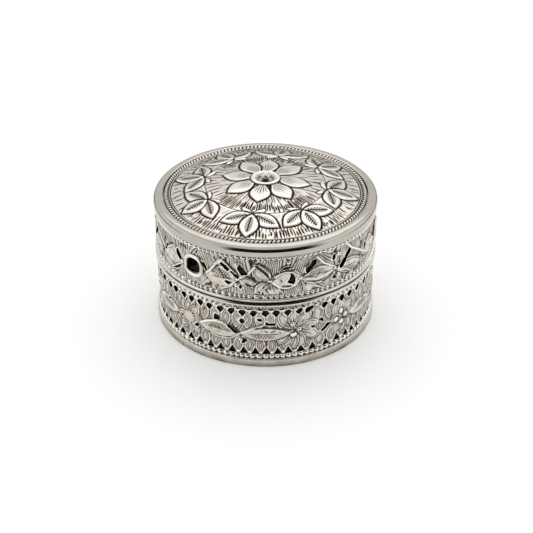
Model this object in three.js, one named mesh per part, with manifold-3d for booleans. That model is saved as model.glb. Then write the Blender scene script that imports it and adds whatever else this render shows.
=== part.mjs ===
// Round silver box with pierced gallery walls and a lift-off domed lid, in millimetres, +Z up.
// The origin is the centre of the foot's underside.
// An angle round the box is in degrees from the front, which is -Y, and grows towards +X.
import * as THREE from "three";
import { mergeVertices } from "three/addons/utils/BufferGeometryUtils.js";
import Module from "manifold-3d";

const wasm = await Module();
wasm.setup();

// Sizes across the box
const LIP_RADIUS = 35;
const FOOT_PROUD = 0.1;
const WALL_INSET = 0.6;
const WALL_THICKNESS = 0.9;
const COLLAR_THICKNESS = 0.6;
const COLLAR_FIT = 0.3;
const BEAD_PROUD = 0.4;

// Heights of the pieces stacked in the base and in the lid
const FOOT_HEIGHT = 2.65;
const BASE_LOWER_BEADING_HEIGHT = 1.6;
const BASE_WALL_HEIGHT = 16.65;
const BASE_UPPER_BEADING_HEIGHT = 0.95;
const BASE_LIP_HEIGHT = 1.2;
const PARTING_GAP = 0.3;
const LID_LIP_HEIGHT = 1.1;
const LID_LOWER_BEADING_HEIGHT = 1.3;
const LID_WALL_HEIGHT = 11.9;
const LID_UPPER_BEADING_HEIGHT = 1.25;
const RIM_BAND_HEIGHT = 1.6;
const SHOULDER_ROLL = 1.6;

// Floor, and the collar that keeps the lid in place
const FLOOR_THICKNESS = 0.7;
const FLOOR_LEDGE_HEIGHT = 1.4;
const FLOOR_LEDGE_THICKNESS = 0.6;
const FLOOR_LEDGE_WIDTH = 1.1;
const FOOT_TREAD = 1.6;
const COLLAR_ABOVE_PARTING = 2.9;
const COLLAR_BELOW_LIP = 0.6;

// Domed plate, its seat in the rim and the border that lies on it
const RIM_SHELF_WIDTH = 1.5;
const PLATE_THICKNESS = 0.7;
const PLATE_DROP = 0.7;
const PLATE_LEDGE_WIDTH = 1;
const PLATE_LEDGE_THICKNESS = 0.7;
const MILLED_WIRE_WIDTH = 1.3;
const MILLED_WIRE_HEIGHT = 0.8;
const MILLED_NOTCH_HEIGHT = 0.5;
const BORDER_RING_WIDTH = 0.6;
const BORDER_RING_HEIGHT = 0.75;
const BORDER_GAP = 0.2;
const DOME_STEP = 0.55;
const DOME_RISE = 4.35;
const DISH_RADIUS = 4.9;
const DISH_DEPTH = 0.3;

// Rosette and wreath raised on the dome
const PETALS = 8;
const PETAL_ANGLE = -11;
const PETAL_ROOT_GAP = 0.4;
const PETAL_TIP_GAP = 5.8;
const PETAL_WIDTH = 5.4;
const WREATH_MARGIN = 0.5;
const LEAF_LENGTH = 9.4;
const LEAF_WIDTH = 4.6;
const SIDE_LEAF_TURN = 64;
const RELIEF_HEIGHT = 0.5;
const ROSETTE_RING_WIDTH = 1.2;
const ROSETTE_RING_HEIGHT = 0.9;
const BALL_RADIUS = 1.25;

// Piercings and soldered grains. Each wall's pattern covers a third of the way round.
const REPEATS = 3;
const HOLES_IN_ROW = 60;
const DIAMOND_WIDTH = 2.1;
const DIAMOND_HEIGHT = 2.2;
const TRIANGLE_WIDTH = 2.6;
const TRIANGLE_HEIGHT = 2.4;
const HOLE_EDGE_MARGIN = 0.25;
const SLOT_LEAN = 0.25;
const GRAIN_RADIUS = 0.7;
const BUD_WIDTH = 4.5;
const BUD_HEIGHT = 3.7;
const EYE_OPENING_WIDTH = 4.6;
const EYE_OPENING_HEIGHT = 4.4;
const EYE_CORNER = 0.3;
const EYE_RING_WIDTH = 1.3;
const ORNAMENT_PROUD = 0.55;
const SOLDER_GAP = 0.15;

// How finely round forms are divided
const RING_FACETS = 40;
const LID_WALL_FACETS = 42;
const SMALL_RING_FACETS = 20;
const BUTTON_FACETS = 10;
const GRAIN_FACETS = 6;
const MOON_STEPS = 4;
const BEADS = 40;
const DOME_RINGS = [0.36, 0.62, 0.84];
const ROLL_STEPS = [0, 30, 60, 90];

// Sections of small pieces, as shares of their size: [half width, height] or [half width, along]
const LEAF_SHOULDERS = [[0.9, 0.33], [0.86, 0.67]];
const BUTTON_SECTION = [[0, 0], [0.5, 0], [0.4, 0.62], [0, 1]];
const BALL_SECTION = [[0, 0], [0.6, 0], [1, 0.5], [0.8, 0.85], [0, 1]];

// Places on the base wall, as angle and share of the way up it, with each slot's size and slant.
const BASE_SLOTS = [
  { angle: -59.4, up: 0.592, length: 1.5, width: 1, slant: 20 },
  { angle: -47.6, up: 0.447, length: 1.4, width: 1.2, slant: 0 },
  { angle: -37.2, up: 0.393, length: 2, width: 1.5, slant: 40 },
  { angle: -25.2, up: 0.718, length: 2.3, width: 2, slant: 88 },
  { angle: -16.6, up: 0.52, length: 4.8, width: 1.4, slant: -27 },
  { angle: -11.8, up: 0.73, length: 1.8, width: 1.7, slant: 45 },
  { angle: -10.6, up: 0.309, length: 2.2, width: 1.8, slant: -42 },
  { angle: -2.8, up: 0.772, length: 1.9, width: 1.2, slant: 0 },
  { angle: 2.5, up: 0.676, length: 3.6, width: 1.2, slant: -8 },
  { angle: 24.4, up: 0.507, length: 1.9, width: 1, slant: -8 },
  { angle: 29, up: 0.604, length: 2.3, width: 1.3, slant: -18 },
  { angle: 32.7, up: 0.423, length: 4.8, width: 1.5, slant: 22 },
];
const BASE_BUD = { angle: -42.4, up: 0.483 };
const BASE_GRAINS = [
  { angle: -12.5, up: 0.315 },
  { angle: 13.6, up: 0.643 },
  { angle: 17.1, up: 0.517 },
  { angle: 44.4, up: 0.508 },
];

// Places on the lid wall, in the same way. A slot with a bite is a half moon, or a crescent where
// the bite is more than nothing: its share of the width is left standing inside the curve.
const LID_EYE = { angle: -38.3, up: 0.483 };
const LID_SLOTS = [
  { angle: -50.3, up: 0.218, length: 5.9, width: 0.9, slant: 211, bite: 0.2 },
  { angle: -48.7, up: 0.626, length: 4.1, width: 1.6, slant: -57 },
  { angle: -32, up: 0.609, length: 3.4, width: 1.6, slant: -50, bite: 0.2 },
  { angle: -20.2, up: 0.735, length: 3.7, width: 1.4, slant: -39 },
  { angle: -18.3, up: 0.315, length: 2.6, width: 1.2, slant: -4 },
  { angle: -15.3, up: 0.559, length: 3.3, width: 1.1, slant: -41 },
  { angle: -12.2, up: 0.214, length: 1.8, width: 1.3, slant: -50 },
  { angle: -11.3, up: 0.71, length: 4.3, width: 2.1, slant: -50 },
  { angle: 10.3, up: 0.769, length: 3.8, width: 1, slant: 5, bite: 0.2 },
  { angle: 13, up: 0.458, length: 4.3, width: 2.2, slant: -80, bite: 0 },
  { angle: 22.9, up: 0.727, length: 4.6, width: 1.9, slant: 41 },
  { angle: 35.6, up: 0.786, length: 2.2, width: 1.6, slant: 75 },
  { angle: 36.7, up: 0.214, length: 2.1, width: 1.6, slant: 60 },
  { angle: 43.6, up: 0.618, length: 7, width: 1.8, slant: 45 },
  { angle: 60.2, up: 0.584, length: 3, width: 1.2, slant: 60 },
];
const LID_GRAINS = [
  { angle: -14.2, up: 0.828 },
  { angle: -14.2, up: 0.248 },
  { angle: 38, up: 0.836 },
  { angle: 38.6, up: 0.231 },
];

// What follows from the sizes above
const WALL_RADIUS = LIP_RADIUS - WALL_INSET;
const BORE_RADIUS = WALL_RADIUS - WALL_THICKNESS;
const FOOT_RADIUS = LIP_RADIUS + FOOT_PROUD;
const BASE_WALL_BOTTOM = FOOT_HEIGHT + BASE_LOWER_BEADING_HEIGHT;
const BASE_WALL_TOP = BASE_WALL_BOTTOM + BASE_WALL_HEIGHT;
const BASE_LIP_BOTTOM = BASE_WALL_TOP + BASE_UPPER_BEADING_HEIGHT;
const PARTING = BASE_LIP_BOTTOM + BASE_LIP_HEIGHT;
const LID_BOTTOM = PARTING + PARTING_GAP;
const LID_BEADING_BOTTOM = LID_BOTTOM + LID_LIP_HEIGHT;
const LID_WALL_BOTTOM = LID_BEADING_BOTTOM + LID_LOWER_BEADING_HEIGHT;
const LID_WALL_TOP = LID_WALL_BOTTOM + LID_WALL_HEIGHT;
const RIM_BOTTOM = LID_WALL_TOP + LID_UPPER_BEADING_HEIGHT;
const RIM_RADIUS = LIP_RADIUS - FOOT_PROUD;
const ROLL_HEIGHT = RIM_BOTTOM + RIM_BAND_HEIGHT;
const RIM_TOP = ROLL_HEIGHT + SHOULDER_ROLL;
const SHELF_RADIUS = RIM_RADIUS - SHOULDER_ROLL - RIM_SHELF_WIDTH;
const PLATE_TOP = RIM_TOP - PLATE_DROP;
const PLATE_SEAT = PLATE_TOP - PLATE_THICKNESS;
const PLATE_RADIUS = SHELF_RADIUS - BORDER_GAP;
const WIRE_OUTER = PLATE_RADIUS;
const WIRE_INNER = WIRE_OUTER - MILLED_WIRE_WIDTH;
const BORDER_OUTER = WIRE_INNER - BORDER_GAP;
const BORDER_INNER = BORDER_OUTER - BORDER_RING_WIDTH;
const DOME_RADIUS = BORDER_INNER - BORDER_GAP;
const DOME_FOOT = PLATE_TOP + DOME_STEP;
const DISH_FLOOR = domeHeight(0) - DISH_DEPTH;
const RING_OUTER = DISH_RADIUS - BORDER_GAP;
const WREATH_NODE_RADIUS = DOME_RADIUS - WREATH_MARGIN - LEAF_LENGTH;
const PETAL_ROOT = DISH_RADIUS + PETAL_ROOT_GAP;
const PETAL_LENGTH = WREATH_NODE_RADIUS - PETAL_TIP_GAP - PETAL_ROOT;

// Height of the dome's upper surface, a shallow paraboloid that meets its step at the edge.
function domeHeight(radius) {
  return DOME_FOOT + DOME_RISE * (1 - (radius / DOME_RADIUS) ** 2);
}

// Solids. An outline is a list of [radius, height] that runs round the section and closes on itself.
function revolve(outline, facets, start = 0) {
  const points = outline.map(([radius, height]) => new THREE.Vector2(radius, height));
  points.push(points[0].clone());
  return new THREE.LatheGeometry(points, facets, start).rotateX(Math.PI / 2);
}

// A shape's outline pushed outwards from start to end along the local Z.
function prism(corners, start, end) {
  const shape = new THREE.Shape(corners.map(([x, y]) => new THREE.Vector2(x, y)));
  const geometry = new THREE.ExtrudeGeometry(shape, { depth: end - start, bevelEnabled: false });
  return geometry.translate(0, 0, start);
}

function solidOf(geometry) {
  const bare = geometry.index ? geometry.toNonIndexed() : geometry.clone();
  bare.deleteAttribute("normal");
  bare.deleteAttribute("uv");
  const welded = mergeVertices(bare, 1e-4);
  const vertProperties = new Float32Array(welded.attributes.position.array);
  const triVerts = new Uint32Array(welded.index.array);
  return new wasm.Manifold(new wasm.Mesh({ numProp: 3, vertProperties, triVerts }));
}

function geometryOf(solid) {
  const mesh = solid.getMesh();
  const geometry = new THREE.BufferGeometry();
  geometry.setAttribute("position", new THREE.BufferAttribute(mesh.vertProperties, 3));
  geometry.setIndex(new THREE.BufferAttribute(mesh.triVerts, 1));
  return geometry;
}

function cut(body, tools) {
  let solid = solidOf(body);
  for (const tool of tools) {
    solid = solid.subtract(solidOf(tool));
  }
  return geometryOf(solid);
}

// Turns a piece made flat, x across, y up and z outwards, to its angle on the wall.
function onWall(geometry, angle, height) {
  const turn = THREE.MathUtils.degToRad(angle);
  const across = new THREE.Vector3(Math.cos(turn), Math.sin(turn), 0);
  const up = new THREE.Vector3(0, 0, 1);
  const outwards = new THREE.Vector3(Math.sin(turn), -Math.cos(turn), 0);
  const place = new THREE.Matrix4().makeBasis(across, up, outwards);
  place.setPosition(0, 0, height);
  return geometry.clone().applyMatrix4(place);
}

function slanted(corners, degrees) {
  const turn = THREE.MathUtils.degToRad(degrees);
  return corners.map(([x, y]) => [
    x * Math.cos(turn) - y * Math.sin(turn),
    x * Math.sin(turn) + y * Math.cos(turn),
  ]);
}

// Outlines of the piercings, each about its own middle
function slotOutline({ length, width, slant, bite }) {
  const end = length / 2;
  const side = width / 2;
  if (bite !== undefined) {
    return slanted(moonOutline(end, width, bite), slant);
  }
  const half = [[end, -side], [end - SLOT_LEAN * width, side]];
  return slanted([...half, ...half.map(([x, y]) => [-x, -y])], slant);
}

// An arc from end to end, then back along a lower arc where the bite leaves one
function moonOutline(end, width, bite) {
  const turns = Array.from({ length: MOON_STEPS + 1 }, (_, index) => (index * Math.PI) / MOON_STEPS);
  const arc = (rise, turn) => [end * Math.cos(turn), rise * Math.sin(turn) - width / 2];
  const outer = turns.map((turn) => arc(width, turn));
  const inner = turns.slice(1, -1).reverse().map((turn) => arc(bite * width, turn));
  return bite > 0 ? [...outer, ...inner] : outer;
}

function diamondOutline() {
  const side = DIAMOND_WIDTH / 2;
  const top = DIAMOND_HEIGHT / 2;
  return [[-side, 0], [0, -top], [side, 0], [0, top]];
}

function triangleOutline() {
  const side = TRIANGLE_WIDTH / 2;
  const top = TRIANGLE_HEIGHT / 2;
  return [[-side, -top], [side, -top], [0, top]];
}

function eyeOutline(width, height) {
  const side = width / 2;
  const top = height / 2;
  const half = [[side, -top + EYE_CORNER * height], [side, top - EYE_CORNER * height]];
  const upper = [[side - EYE_CORNER * width, top], [-side + EYE_CORNER * width, top]];
  return [...half, ...upper, ...[...half, ...upper].map(([x, y]) => [-x, -y])];
}

// Gives each place its height from its share of the way up a wall
function placed(places, bottom, height) {
  return places.map(({ up, ...place }) => ({ ...place, height: bottom + up * height }));
}

function onBase(places) {
  return placed(places, BASE_WALL_BOTTOM, BASE_WALL_HEIGHT);
}

function onLid(places) {
  return placed(places, LID_WALL_BOTTOM, LID_WALL_HEIGHT);
}

function thirds(places) {
  const turns = Array.from({ length: REPEATS }, (_, index) => (index * 360) / REPEATS);
  return turns.flatMap((turn) => places.map((place) => ({ ...place, angle: place.angle + turn })));
}

// Tools that pierce a wall right through, at each place
function piercings(places, outlineOf) {
  return places.map((place) => {
    const tool = prism(outlineOf(place), BORE_RADIUS - WALL_THICKNESS, WALL_RADIUS + WALL_THICKNESS);
    return onWall(tool, place.angle, place.height);
  });
}

function holeRow(height) {
  const row = Array.from({ length: HOLES_IN_ROW }, (_, index) => index);
  return row.map((index) => ({ angle: (index * 360) / HOLES_IN_ROW, height }));
}

// A plain band with the middle of a facet at the front
function wallBand(bottom, top, facets) {
  const outline = [
    [BORE_RADIUS, bottom],
    [WALL_RADIUS, bottom],
    [WALL_RADIUS, top],
    [BORE_RADIUS, top],
  ];
  return revolve(outline, facets, Math.PI / facets);
}

// Changes the points on every second column of a ring.
function onAlternateColumns(ring, columns, change) {
  const position = ring.attributes.position;
  for (let index = 0; index < position.count; index += 1) {
    const x = position.getX(index);
    const y = position.getY(index);
    const column = Math.round((Math.atan2(x, -y) / (2 * Math.PI)) * columns);
    if (Math.abs(column % 2) === 1) {
      change(position, index, x, y);
    }
  }
  return ring;
}

// A beaded strip: its outside swells into beads and falls back to a neck between each two.
function beadedStrip(bottom, height) {
  const outline = [
    [BORE_RADIUS, bottom],
    [WALL_RADIUS + BEAD_PROUD, bottom + height / 2],
    [BORE_RADIUS, bottom + height],
  ];
  return onAlternateColumns(revolve(outline, BEADS * 2), BEADS * 2, (position, index, x, y) => {
    const inwards = Math.min(1, WALL_RADIUS / Math.hypot(x, y));
    position.setXY(index, x * inwards, y * inwards);
  });
}

// Base
function footRing() {
  const tread = FOOT_RADIUS - FOOT_TREAD;
  const ledge = BORE_RADIUS - FLOOR_LEDGE_WIDTH;
  const underLedge = FLOOR_LEDGE_HEIGHT - FLOOR_LEDGE_THICKNESS;
  const outline = [
    [tread, 0],
    [FOOT_RADIUS, 0],
    [FOOT_RADIUS, FOOT_HEIGHT],
    [BORE_RADIUS, FOOT_HEIGHT],
    [BORE_RADIUS, FLOOR_LEDGE_HEIGHT],
    [ledge, FLOOR_LEDGE_HEIGHT],
    [ledge, underLedge],
    [tread, underLedge],
  ];
  return revolve(outline, RING_FACETS);
}

function baseFloor() {
  const radius = BORE_RADIUS - COLLAR_FIT;
  const top = FLOOR_LEDGE_HEIGHT + FLOOR_THICKNESS;
  const outline = [[0, FLOOR_LEDGE_HEIGHT], [radius, FLOOR_LEDGE_HEIGHT], [radius, top], [0, top]];
  return revolve(outline, RING_FACETS);
}

function baseWall() {
  const triangleHeight = BASE_WALL_BOTTOM + HOLE_EDGE_MARGIN + TRIANGLE_HEIGHT / 2;
  const diamondHeight = BASE_WALL_TOP - HOLE_EDGE_MARGIN - DIAMOND_HEIGHT / 2;
  return cut(wallBand(BASE_WALL_BOTTOM, BASE_WALL_TOP, HOLES_IN_ROW), [
    ...piercings(holeRow(triangleHeight), triangleOutline),
    ...piercings(holeRow(diamondHeight), diamondOutline),
    ...piercings(thirds(onBase(BASE_SLOTS)), slotOutline),
  ]);
}

function baseLip() {
  const bevel = BASE_LIP_HEIGHT / 2;
  const outline = [
    [BORE_RADIUS, BASE_LIP_BOTTOM],
    [LIP_RADIUS, BASE_LIP_BOTTOM],
    [LIP_RADIUS, PARTING - bevel],
    [LIP_RADIUS - bevel, PARTING],
    [BORE_RADIUS, PARTING],
  ];
  return revolve(outline, RING_FACETS);
}

function locatingCollar() {
  const outer = BORE_RADIUS - COLLAR_FIT;
  const inner = outer - COLLAR_THICKNESS;
  const bottom = BASE_LIP_BOTTOM - COLLAR_BELOW_LIP;
  const top = PARTING + COLLAR_ABOVE_PARTING;
  const outline = [[inner, bottom], [outer, bottom], [outer, top], [inner, top]];
  return revolve(outline, RING_FACETS);
}

// Lid
function lidLip() {
  const outline = [
    [BORE_RADIUS, LID_BOTTOM],
    [LIP_RADIUS - WALL_INSET / 2, LID_BOTTOM],
    [LIP_RADIUS, LID_BOTTOM + WALL_INSET / 2],
    [LIP_RADIUS, LID_BEADING_BOTTOM],
    [BORE_RADIUS, LID_BEADING_BOTTOM],
  ];
  return revolve(outline, RING_FACETS);
}

function lidWall() {
  return cut(wallBand(LID_WALL_BOTTOM, LID_WALL_TOP, LID_WALL_FACETS), [
    ...piercings(thirds(onLid([LID_EYE])), () => eyeOutline(EYE_OPENING_WIDTH, EYE_OPENING_HEIGHT)),
    ...piercings(thirds(onLid(LID_SLOTS)), slotOutline),
  ]);
}

// The rim: a plain band, a rolled shoulder and a shelf that falls to a ledge under the domed plate.
function lidRim() {
  const ledge = SHELF_RADIUS - PLATE_LEDGE_WIDTH;
  const centre = RIM_RADIUS - SHOULDER_ROLL;
  const roll = ROLL_STEPS.map((degrees) => {
    const turn = THREE.MathUtils.degToRad(degrees);
    return [centre + SHOULDER_ROLL * Math.cos(turn), ROLL_HEIGHT + SHOULDER_ROLL * Math.sin(turn)];
  });
  const outline = [
    [BORE_RADIUS, RIM_BOTTOM],
    [RIM_RADIUS, RIM_BOTTOM],
    ...roll,
    [SHELF_RADIUS, RIM_TOP],
    [SHELF_RADIUS, PLATE_SEAT],
    [ledge, PLATE_SEAT],
    [ledge, PLATE_SEAT - PLATE_LEDGE_THICKNESS],
    [BORE_RADIUS, PLATE_SEAT - PLATE_LEDGE_THICKNESS],
  ];
  return revolve(outline, RING_FACETS);
}

// A leaf or petal outline from its root at the origin to its tip on +Y
function leafOutline(length, width) {
  const side = width / 2;
  const right = LEAF_SHOULDERS.map(([wide, along]) => [side * wide, length * along]);
  const left = right.map(([x, y]) => [-x, y]).reverse();
  return [[0, 0], ...right, [0, length], ...left];
}

// A leaf raised on the dome: its prism follows the dome from inside the plate to the relief height.
function raisedLeaf(outline, angle, rootRadius, turn) {
  const leaf = prism(outline, -PLATE_THICKNESS / 2, RELIEF_HEIGHT);
  leaf.rotateZ(THREE.MathUtils.degToRad(180 + turn));
  leaf.translate(0, -rootRadius, 0);
  leaf.rotateZ(THREE.MathUtils.degToRad(angle));
  const position = leaf.attributes.position;
  for (let index = 0; index < position.count; index += 1) {
    const radius = Math.hypot(position.getX(index), position.getY(index));
    position.setZ(index, position.getZ(index) + domeHeight(radius));
  }
  return leaf;
}

function lidDome() {
  const steps = DOME_RINGS.map((share) => share * DOME_RADIUS);
  const upper = steps.map((radius) => [radius, domeHeight(radius)]);
  const under = steps.map((radius) => [radius, domeHeight(radius) - PLATE_THICKNESS]).reverse();
  const outline = [
    [0, DISH_FLOOR],
    [DISH_RADIUS, DISH_FLOOR],
    [DISH_RADIUS, domeHeight(DISH_RADIUS)],
    ...upper,
    [DOME_RADIUS, DOME_FOOT],
    [DOME_RADIUS, PLATE_TOP],
    [PLATE_RADIUS, PLATE_TOP],
    [PLATE_RADIUS, PLATE_SEAT],
    [DOME_RADIUS - PLATE_THICKNESS, PLATE_SEAT],
    ...under,
    [0, DISH_FLOOR - PLATE_THICKNESS],
  ];
  outline.reverse();
  let solid = solidOf(revolve(outline, RING_FACETS));
  const petal = leafOutline(PETAL_LENGTH, PETAL_WIDTH);
  const leaf = leafOutline(LEAF_LENGTH, LEAF_WIDTH);
  for (let index = 0; index < PETALS; index += 1) {
    const angle = PETAL_ANGLE + (index * 360) / PETALS;
    solid = solid.add(solidOf(raisedLeaf(petal, angle, PETAL_ROOT, 0)));
    for (const turn of [-SIDE_LEAF_TURN, 0, SIDE_LEAF_TURN]) {
      solid = solid.add(solidOf(raisedLeaf(leaf, angle, WREATH_NODE_RADIUS, turn)));
    }
  }
  return geometryOf(solid);
}

// A wire with a notch between each two of its beads
function milledWire() {
  const outline = [
    [WIRE_INNER, PLATE_TOP],
    [WIRE_OUTER, PLATE_TOP],
    [(WIRE_INNER + WIRE_OUTER) / 2, PLATE_TOP + MILLED_WIRE_HEIGHT],
  ];
  return onAlternateColumns(revolve(outline, BEADS * 2), BEADS * 2, (position, index) => {
    position.setZ(index, Math.min(position.getZ(index), PLATE_TOP + MILLED_NOTCH_HEIGHT));
  });
}

function borderRing() {
  const top = PLATE_TOP + BORDER_RING_HEIGHT;
  const outline = [
    [BORDER_INNER, PLATE_TOP],
    [BORDER_OUTER, PLATE_TOP],
    [BORDER_OUTER, top],
    [BORDER_INNER, top],
  ];
  return revolve(outline, RING_FACETS);
}

function rosetteRing() {
  const middle = RING_OUTER - ROSETTE_RING_WIDTH / 2;
  const top = DISH_FLOOR + ROSETTE_RING_HEIGHT;
  const outline = [
    [RING_OUTER - ROSETTE_RING_WIDTH, DISH_FLOOR],
    [RING_OUTER, DISH_FLOOR],
    [RING_OUTER, (DISH_FLOOR + top) / 2],
    [middle, top],
  ];
  return revolve(outline, SMALL_RING_FACETS);
}

// A domed button on its own base plane, with its top on +Z
function button(width, depth, proud, facets) {
  return revolve(BUTTON_SECTION, facets).scale(width, depth, proud);
}

// Wraps a piece made flat on the wall's outside round its curve, at the front.
function wrapOnWall(geometry, height) {
  const position = geometry.attributes.position;
  for (let index = 0; index < position.count; index += 1) {
    const angle = position.getX(index) / WALL_RADIUS;
    const radius = WALL_RADIUS + SOLDER_GAP + position.getZ(index);
    const up = height + position.getY(index);
    position.setXYZ(index, radius * Math.sin(angle), -radius * Math.cos(angle), up);
  }
  return geometry;
}

function eyeRing(height) {
  const inner = EYE_OPENING_WIDTH / 2 + BORDER_GAP;
  const outer = inner + EYE_RING_WIDTH;
  const outline = [
    [inner, 0],
    [outer, 0],
    [(inner + outer) / 2, ORNAMENT_PROUD],
  ];
  const ring = revolve(outline, SMALL_RING_FACETS);
  ring.scale(1, EYE_OPENING_HEIGHT / EYE_OPENING_WIDTH, 1);
  return wrapOnWall(ring, height);
}

function flowerBud(height) {
  return wrapOnWall(button(BUD_WIDTH, BUD_HEIGHT, ORNAMENT_PROUD, BUTTON_FACETS), height);
}

function grain(height) {
  const size = 2 * GRAIN_RADIUS;
  return wrapOnWall(button(size, size, ORNAMENT_PROUD, GRAIN_FACETS), height);
}

function rosetteBall() {
  const tall = 2 * BALL_RADIUS;
  const outline = BALL_SECTION.map(([wide, high]) => [BALL_RADIUS * wide, DISH_FLOOR + tall * high]);
  return revolve(outline, BUTTON_FACETS);
}

// Silver in its finishes
function silver(colour, roughness) {
  return new THREE.MeshStandardMaterial({ color: colour, roughness, metalness: 1 });
}

const POLISHED = ["#d9d6cf", 0.2];
const CHASED = ["#c2bdb2", 0.42];
const WIRE = ["#d0ccc3", 0.3];
const INSIDE = ["#a9a396", 0.5];

const box = new THREE.Group();
const base = new THREE.Group();
const lid = new THREE.Group();
box.add(base, lid);

function addPiece(group, name, geometry, [colour, roughness]) {
  const mesh = new THREE.Mesh(geometry, silver(colour, roughness));
  mesh.name = name;
  group.add(mesh);
  return mesh;
}

// Copies of a piece made at the front, turned to each of its angles
function addTurned(group, name, pieceOf, places, finish) {
  thirds(places).forEach((place, index) => {
    const mesh = addPiece(group, `${name}_${index + 1}`, pieceOf(place.height), finish);
    mesh.rotation.z = THREE.MathUtils.degToRad(place.angle);
  });
}

addPiece(base, "foot_ring", footRing(), POLISHED);
addPiece(base, "base_floor", baseFloor(), INSIDE);
addPiece(base, "base_lower_beading", beadedStrip(FOOT_HEIGHT, BASE_LOWER_BEADING_HEIGHT), WIRE);
addPiece(base, "base_wall", baseWall(), CHASED);
addPiece(base, "base_upper_beading", beadedStrip(BASE_WALL_TOP, BASE_UPPER_BEADING_HEIGHT), WIRE);
addPiece(base, "base_lip_ring", baseLip(), POLISHED);
addPiece(base, "locating_collar", locatingCollar(), INSIDE);
addTurned(base, "base_flower_bud", flowerBud, onBase([BASE_BUD]), WIRE);
addTurned(base, "base_granule", grain, onBase(BASE_GRAINS), WIRE);

addPiece(lid, "lid_lip_ring", lidLip(), POLISHED);
addPiece(lid, "lid_lower_beading", beadedStrip(LID_BEADING_BOTTOM, LID_LOWER_BEADING_HEIGHT), WIRE);
addPiece(lid, "lid_wall", lidWall(), CHASED);
addTurned(lid, "lid_eye_ring", eyeRing, onLid([LID_EYE]), WIRE);
addTurned(lid, "lid_granule", grain, onLid(LID_GRAINS), WIRE);
addPiece(lid, "lid_upper_beading", beadedStrip(LID_WALL_TOP, LID_UPPER_BEADING_HEIGHT), WIRE);
addPiece(lid, "lid_rim", lidRim(), POLISHED);
addPiece(lid, "lid_dome", lidDome(), CHASED);
addPiece(lid, "border_milled_wire", milledWire(), WIRE);
addPiece(lid, "border_ring", borderRing(), WIRE);
addPiece(lid, "rosette_ring", rosetteRing(), POLISHED);
addPiece(lid, "rosette_ball", rosetteBall(), POLISHED);

export default box;
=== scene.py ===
"""Round silver box: pierced and chased walls, beaded borders, and a domed lid with a rosette and a wreath.
Lengths are in mm. Angles round the box are in degrees from the front, which is -Y, and grow towards +X."""
import math

import bpy
import numpy as np
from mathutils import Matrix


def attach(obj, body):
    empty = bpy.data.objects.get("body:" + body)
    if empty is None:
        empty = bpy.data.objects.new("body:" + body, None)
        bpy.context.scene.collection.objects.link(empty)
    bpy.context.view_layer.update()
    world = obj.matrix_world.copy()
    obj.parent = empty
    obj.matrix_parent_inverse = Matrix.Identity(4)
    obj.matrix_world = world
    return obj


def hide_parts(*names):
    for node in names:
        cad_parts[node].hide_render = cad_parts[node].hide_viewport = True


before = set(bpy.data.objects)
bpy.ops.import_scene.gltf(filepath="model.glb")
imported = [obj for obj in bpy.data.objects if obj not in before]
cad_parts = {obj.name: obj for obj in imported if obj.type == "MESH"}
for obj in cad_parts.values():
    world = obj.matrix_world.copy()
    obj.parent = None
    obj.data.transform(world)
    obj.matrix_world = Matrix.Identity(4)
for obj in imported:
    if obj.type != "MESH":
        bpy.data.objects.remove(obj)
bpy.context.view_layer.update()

MM = 0.001

# Camera: where it stands, what it looks at on the box's axis, and its lens, for a square frame
CAMERA_DISTANCE = 380
CAMERA_ELEVATION = 32
LOOK_HEIGHT = 14.2
FOCAL_PIXELS = 1175
FRAME_PIXELS = 533
AXIS_OFFSET_PIXELS = 1.04
SENSOR_WIDTH = 36

# Fineness of the chased surfaces
WALL_COLUMNS = 1134
ROW_STEP = 0.235
RING_COLUMNS = 360
BEAD_COLUMNS = 12
BEAD_ROWS = 13
DOME_COLUMNS = 1008

# Pattern of the walls: it covers a third of the way round and is repeated
REPEAT_DEGREES = 120
TURNS = range(0, 360, REPEAT_DEGREES)
HATCH_COLUMNS = 4

# Patina, and the painted shade and highlights that share its scale, from 0 where silver is rubbed bright to 1 where
# it is black
RUBBED = 0.35
INSIDE_PATINA = 0.8


# Sizes read from the frame

def vertices_of(piece):
    """The vertices of a piece in mm, one row each."""
    place = np.empty(len(piece.data.vertices) * 3, np.float32)
    piece.data.vertices.foreach_get("co", place)
    return place.reshape(-1, 3).astype(float) / MM


def extent(node_name):
    """Least and greatest distance from the axis, then the lowest and highest point, of a CAD node."""
    x, y, height = vertices_of(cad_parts[node_name]).T
    radius = np.hypot(x, y)
    return radius.min(), radius.max(), height.min(), height.max()


FOOT_INNER, FOOT_RADIUS, _, FOOT_TOP = extent("foot_ring")
_, FLOOR_RADIUS, FLOOR_BOTTOM, FLOOR_TOP = extent("base_floor")
BORE_RADIUS, WALL_RADIUS, BASE_BOTTOM, _ = extent("base_wall")
_, LIP_RADIUS, BASE_LIP_BOTTOM, PARTING = extent("base_lip_ring")
COLLAR_INNER, COLLAR_OUTER, COLLAR_BOTTOM, COLLAR_TOP = extent("locating_collar")
_, _, LID_BOTTOM, LID_LIP_TOP = extent("lid_lip_ring")
RIM_LEDGE_INNER, RIM_RADIUS, RIM_BOTTOM, RIM_TOP = extent("lid_rim")
_, PLATE_RADIUS, PLATE_SEAT, _ = extent("lid_dome")
WIRE_INNER, WIRE_OUTER, PLATE_TOP, WIRE_TOP = extent("border_milled_wire")
BORDER_INNER, BORDER_OUTER, _, BORDER_TOP = extent("border_ring")
_, ROSETTE_OUTER, DISH_FLOOR, ROSETTE_TOP = extent("rosette_ring")
_, BALL_RADIUS, _, BALL_TOP = extent("rosette_ball")
MM_PER_DEGREE = math.radians(1) * WALL_RADIUS


# Small functions on arrays

def smooth(low, high, value):
    """A ramp from 0 at low to 1 at high, level at both ends."""
    part = np.clip((value - low) / (high - low), 0, 1)
    return part * part * (3 - 2 * part)


def bump(distance, width):
    """1 at distance 0, falling as a bell of that width."""
    return np.exp(-(distance / width) ** 2)


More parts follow.
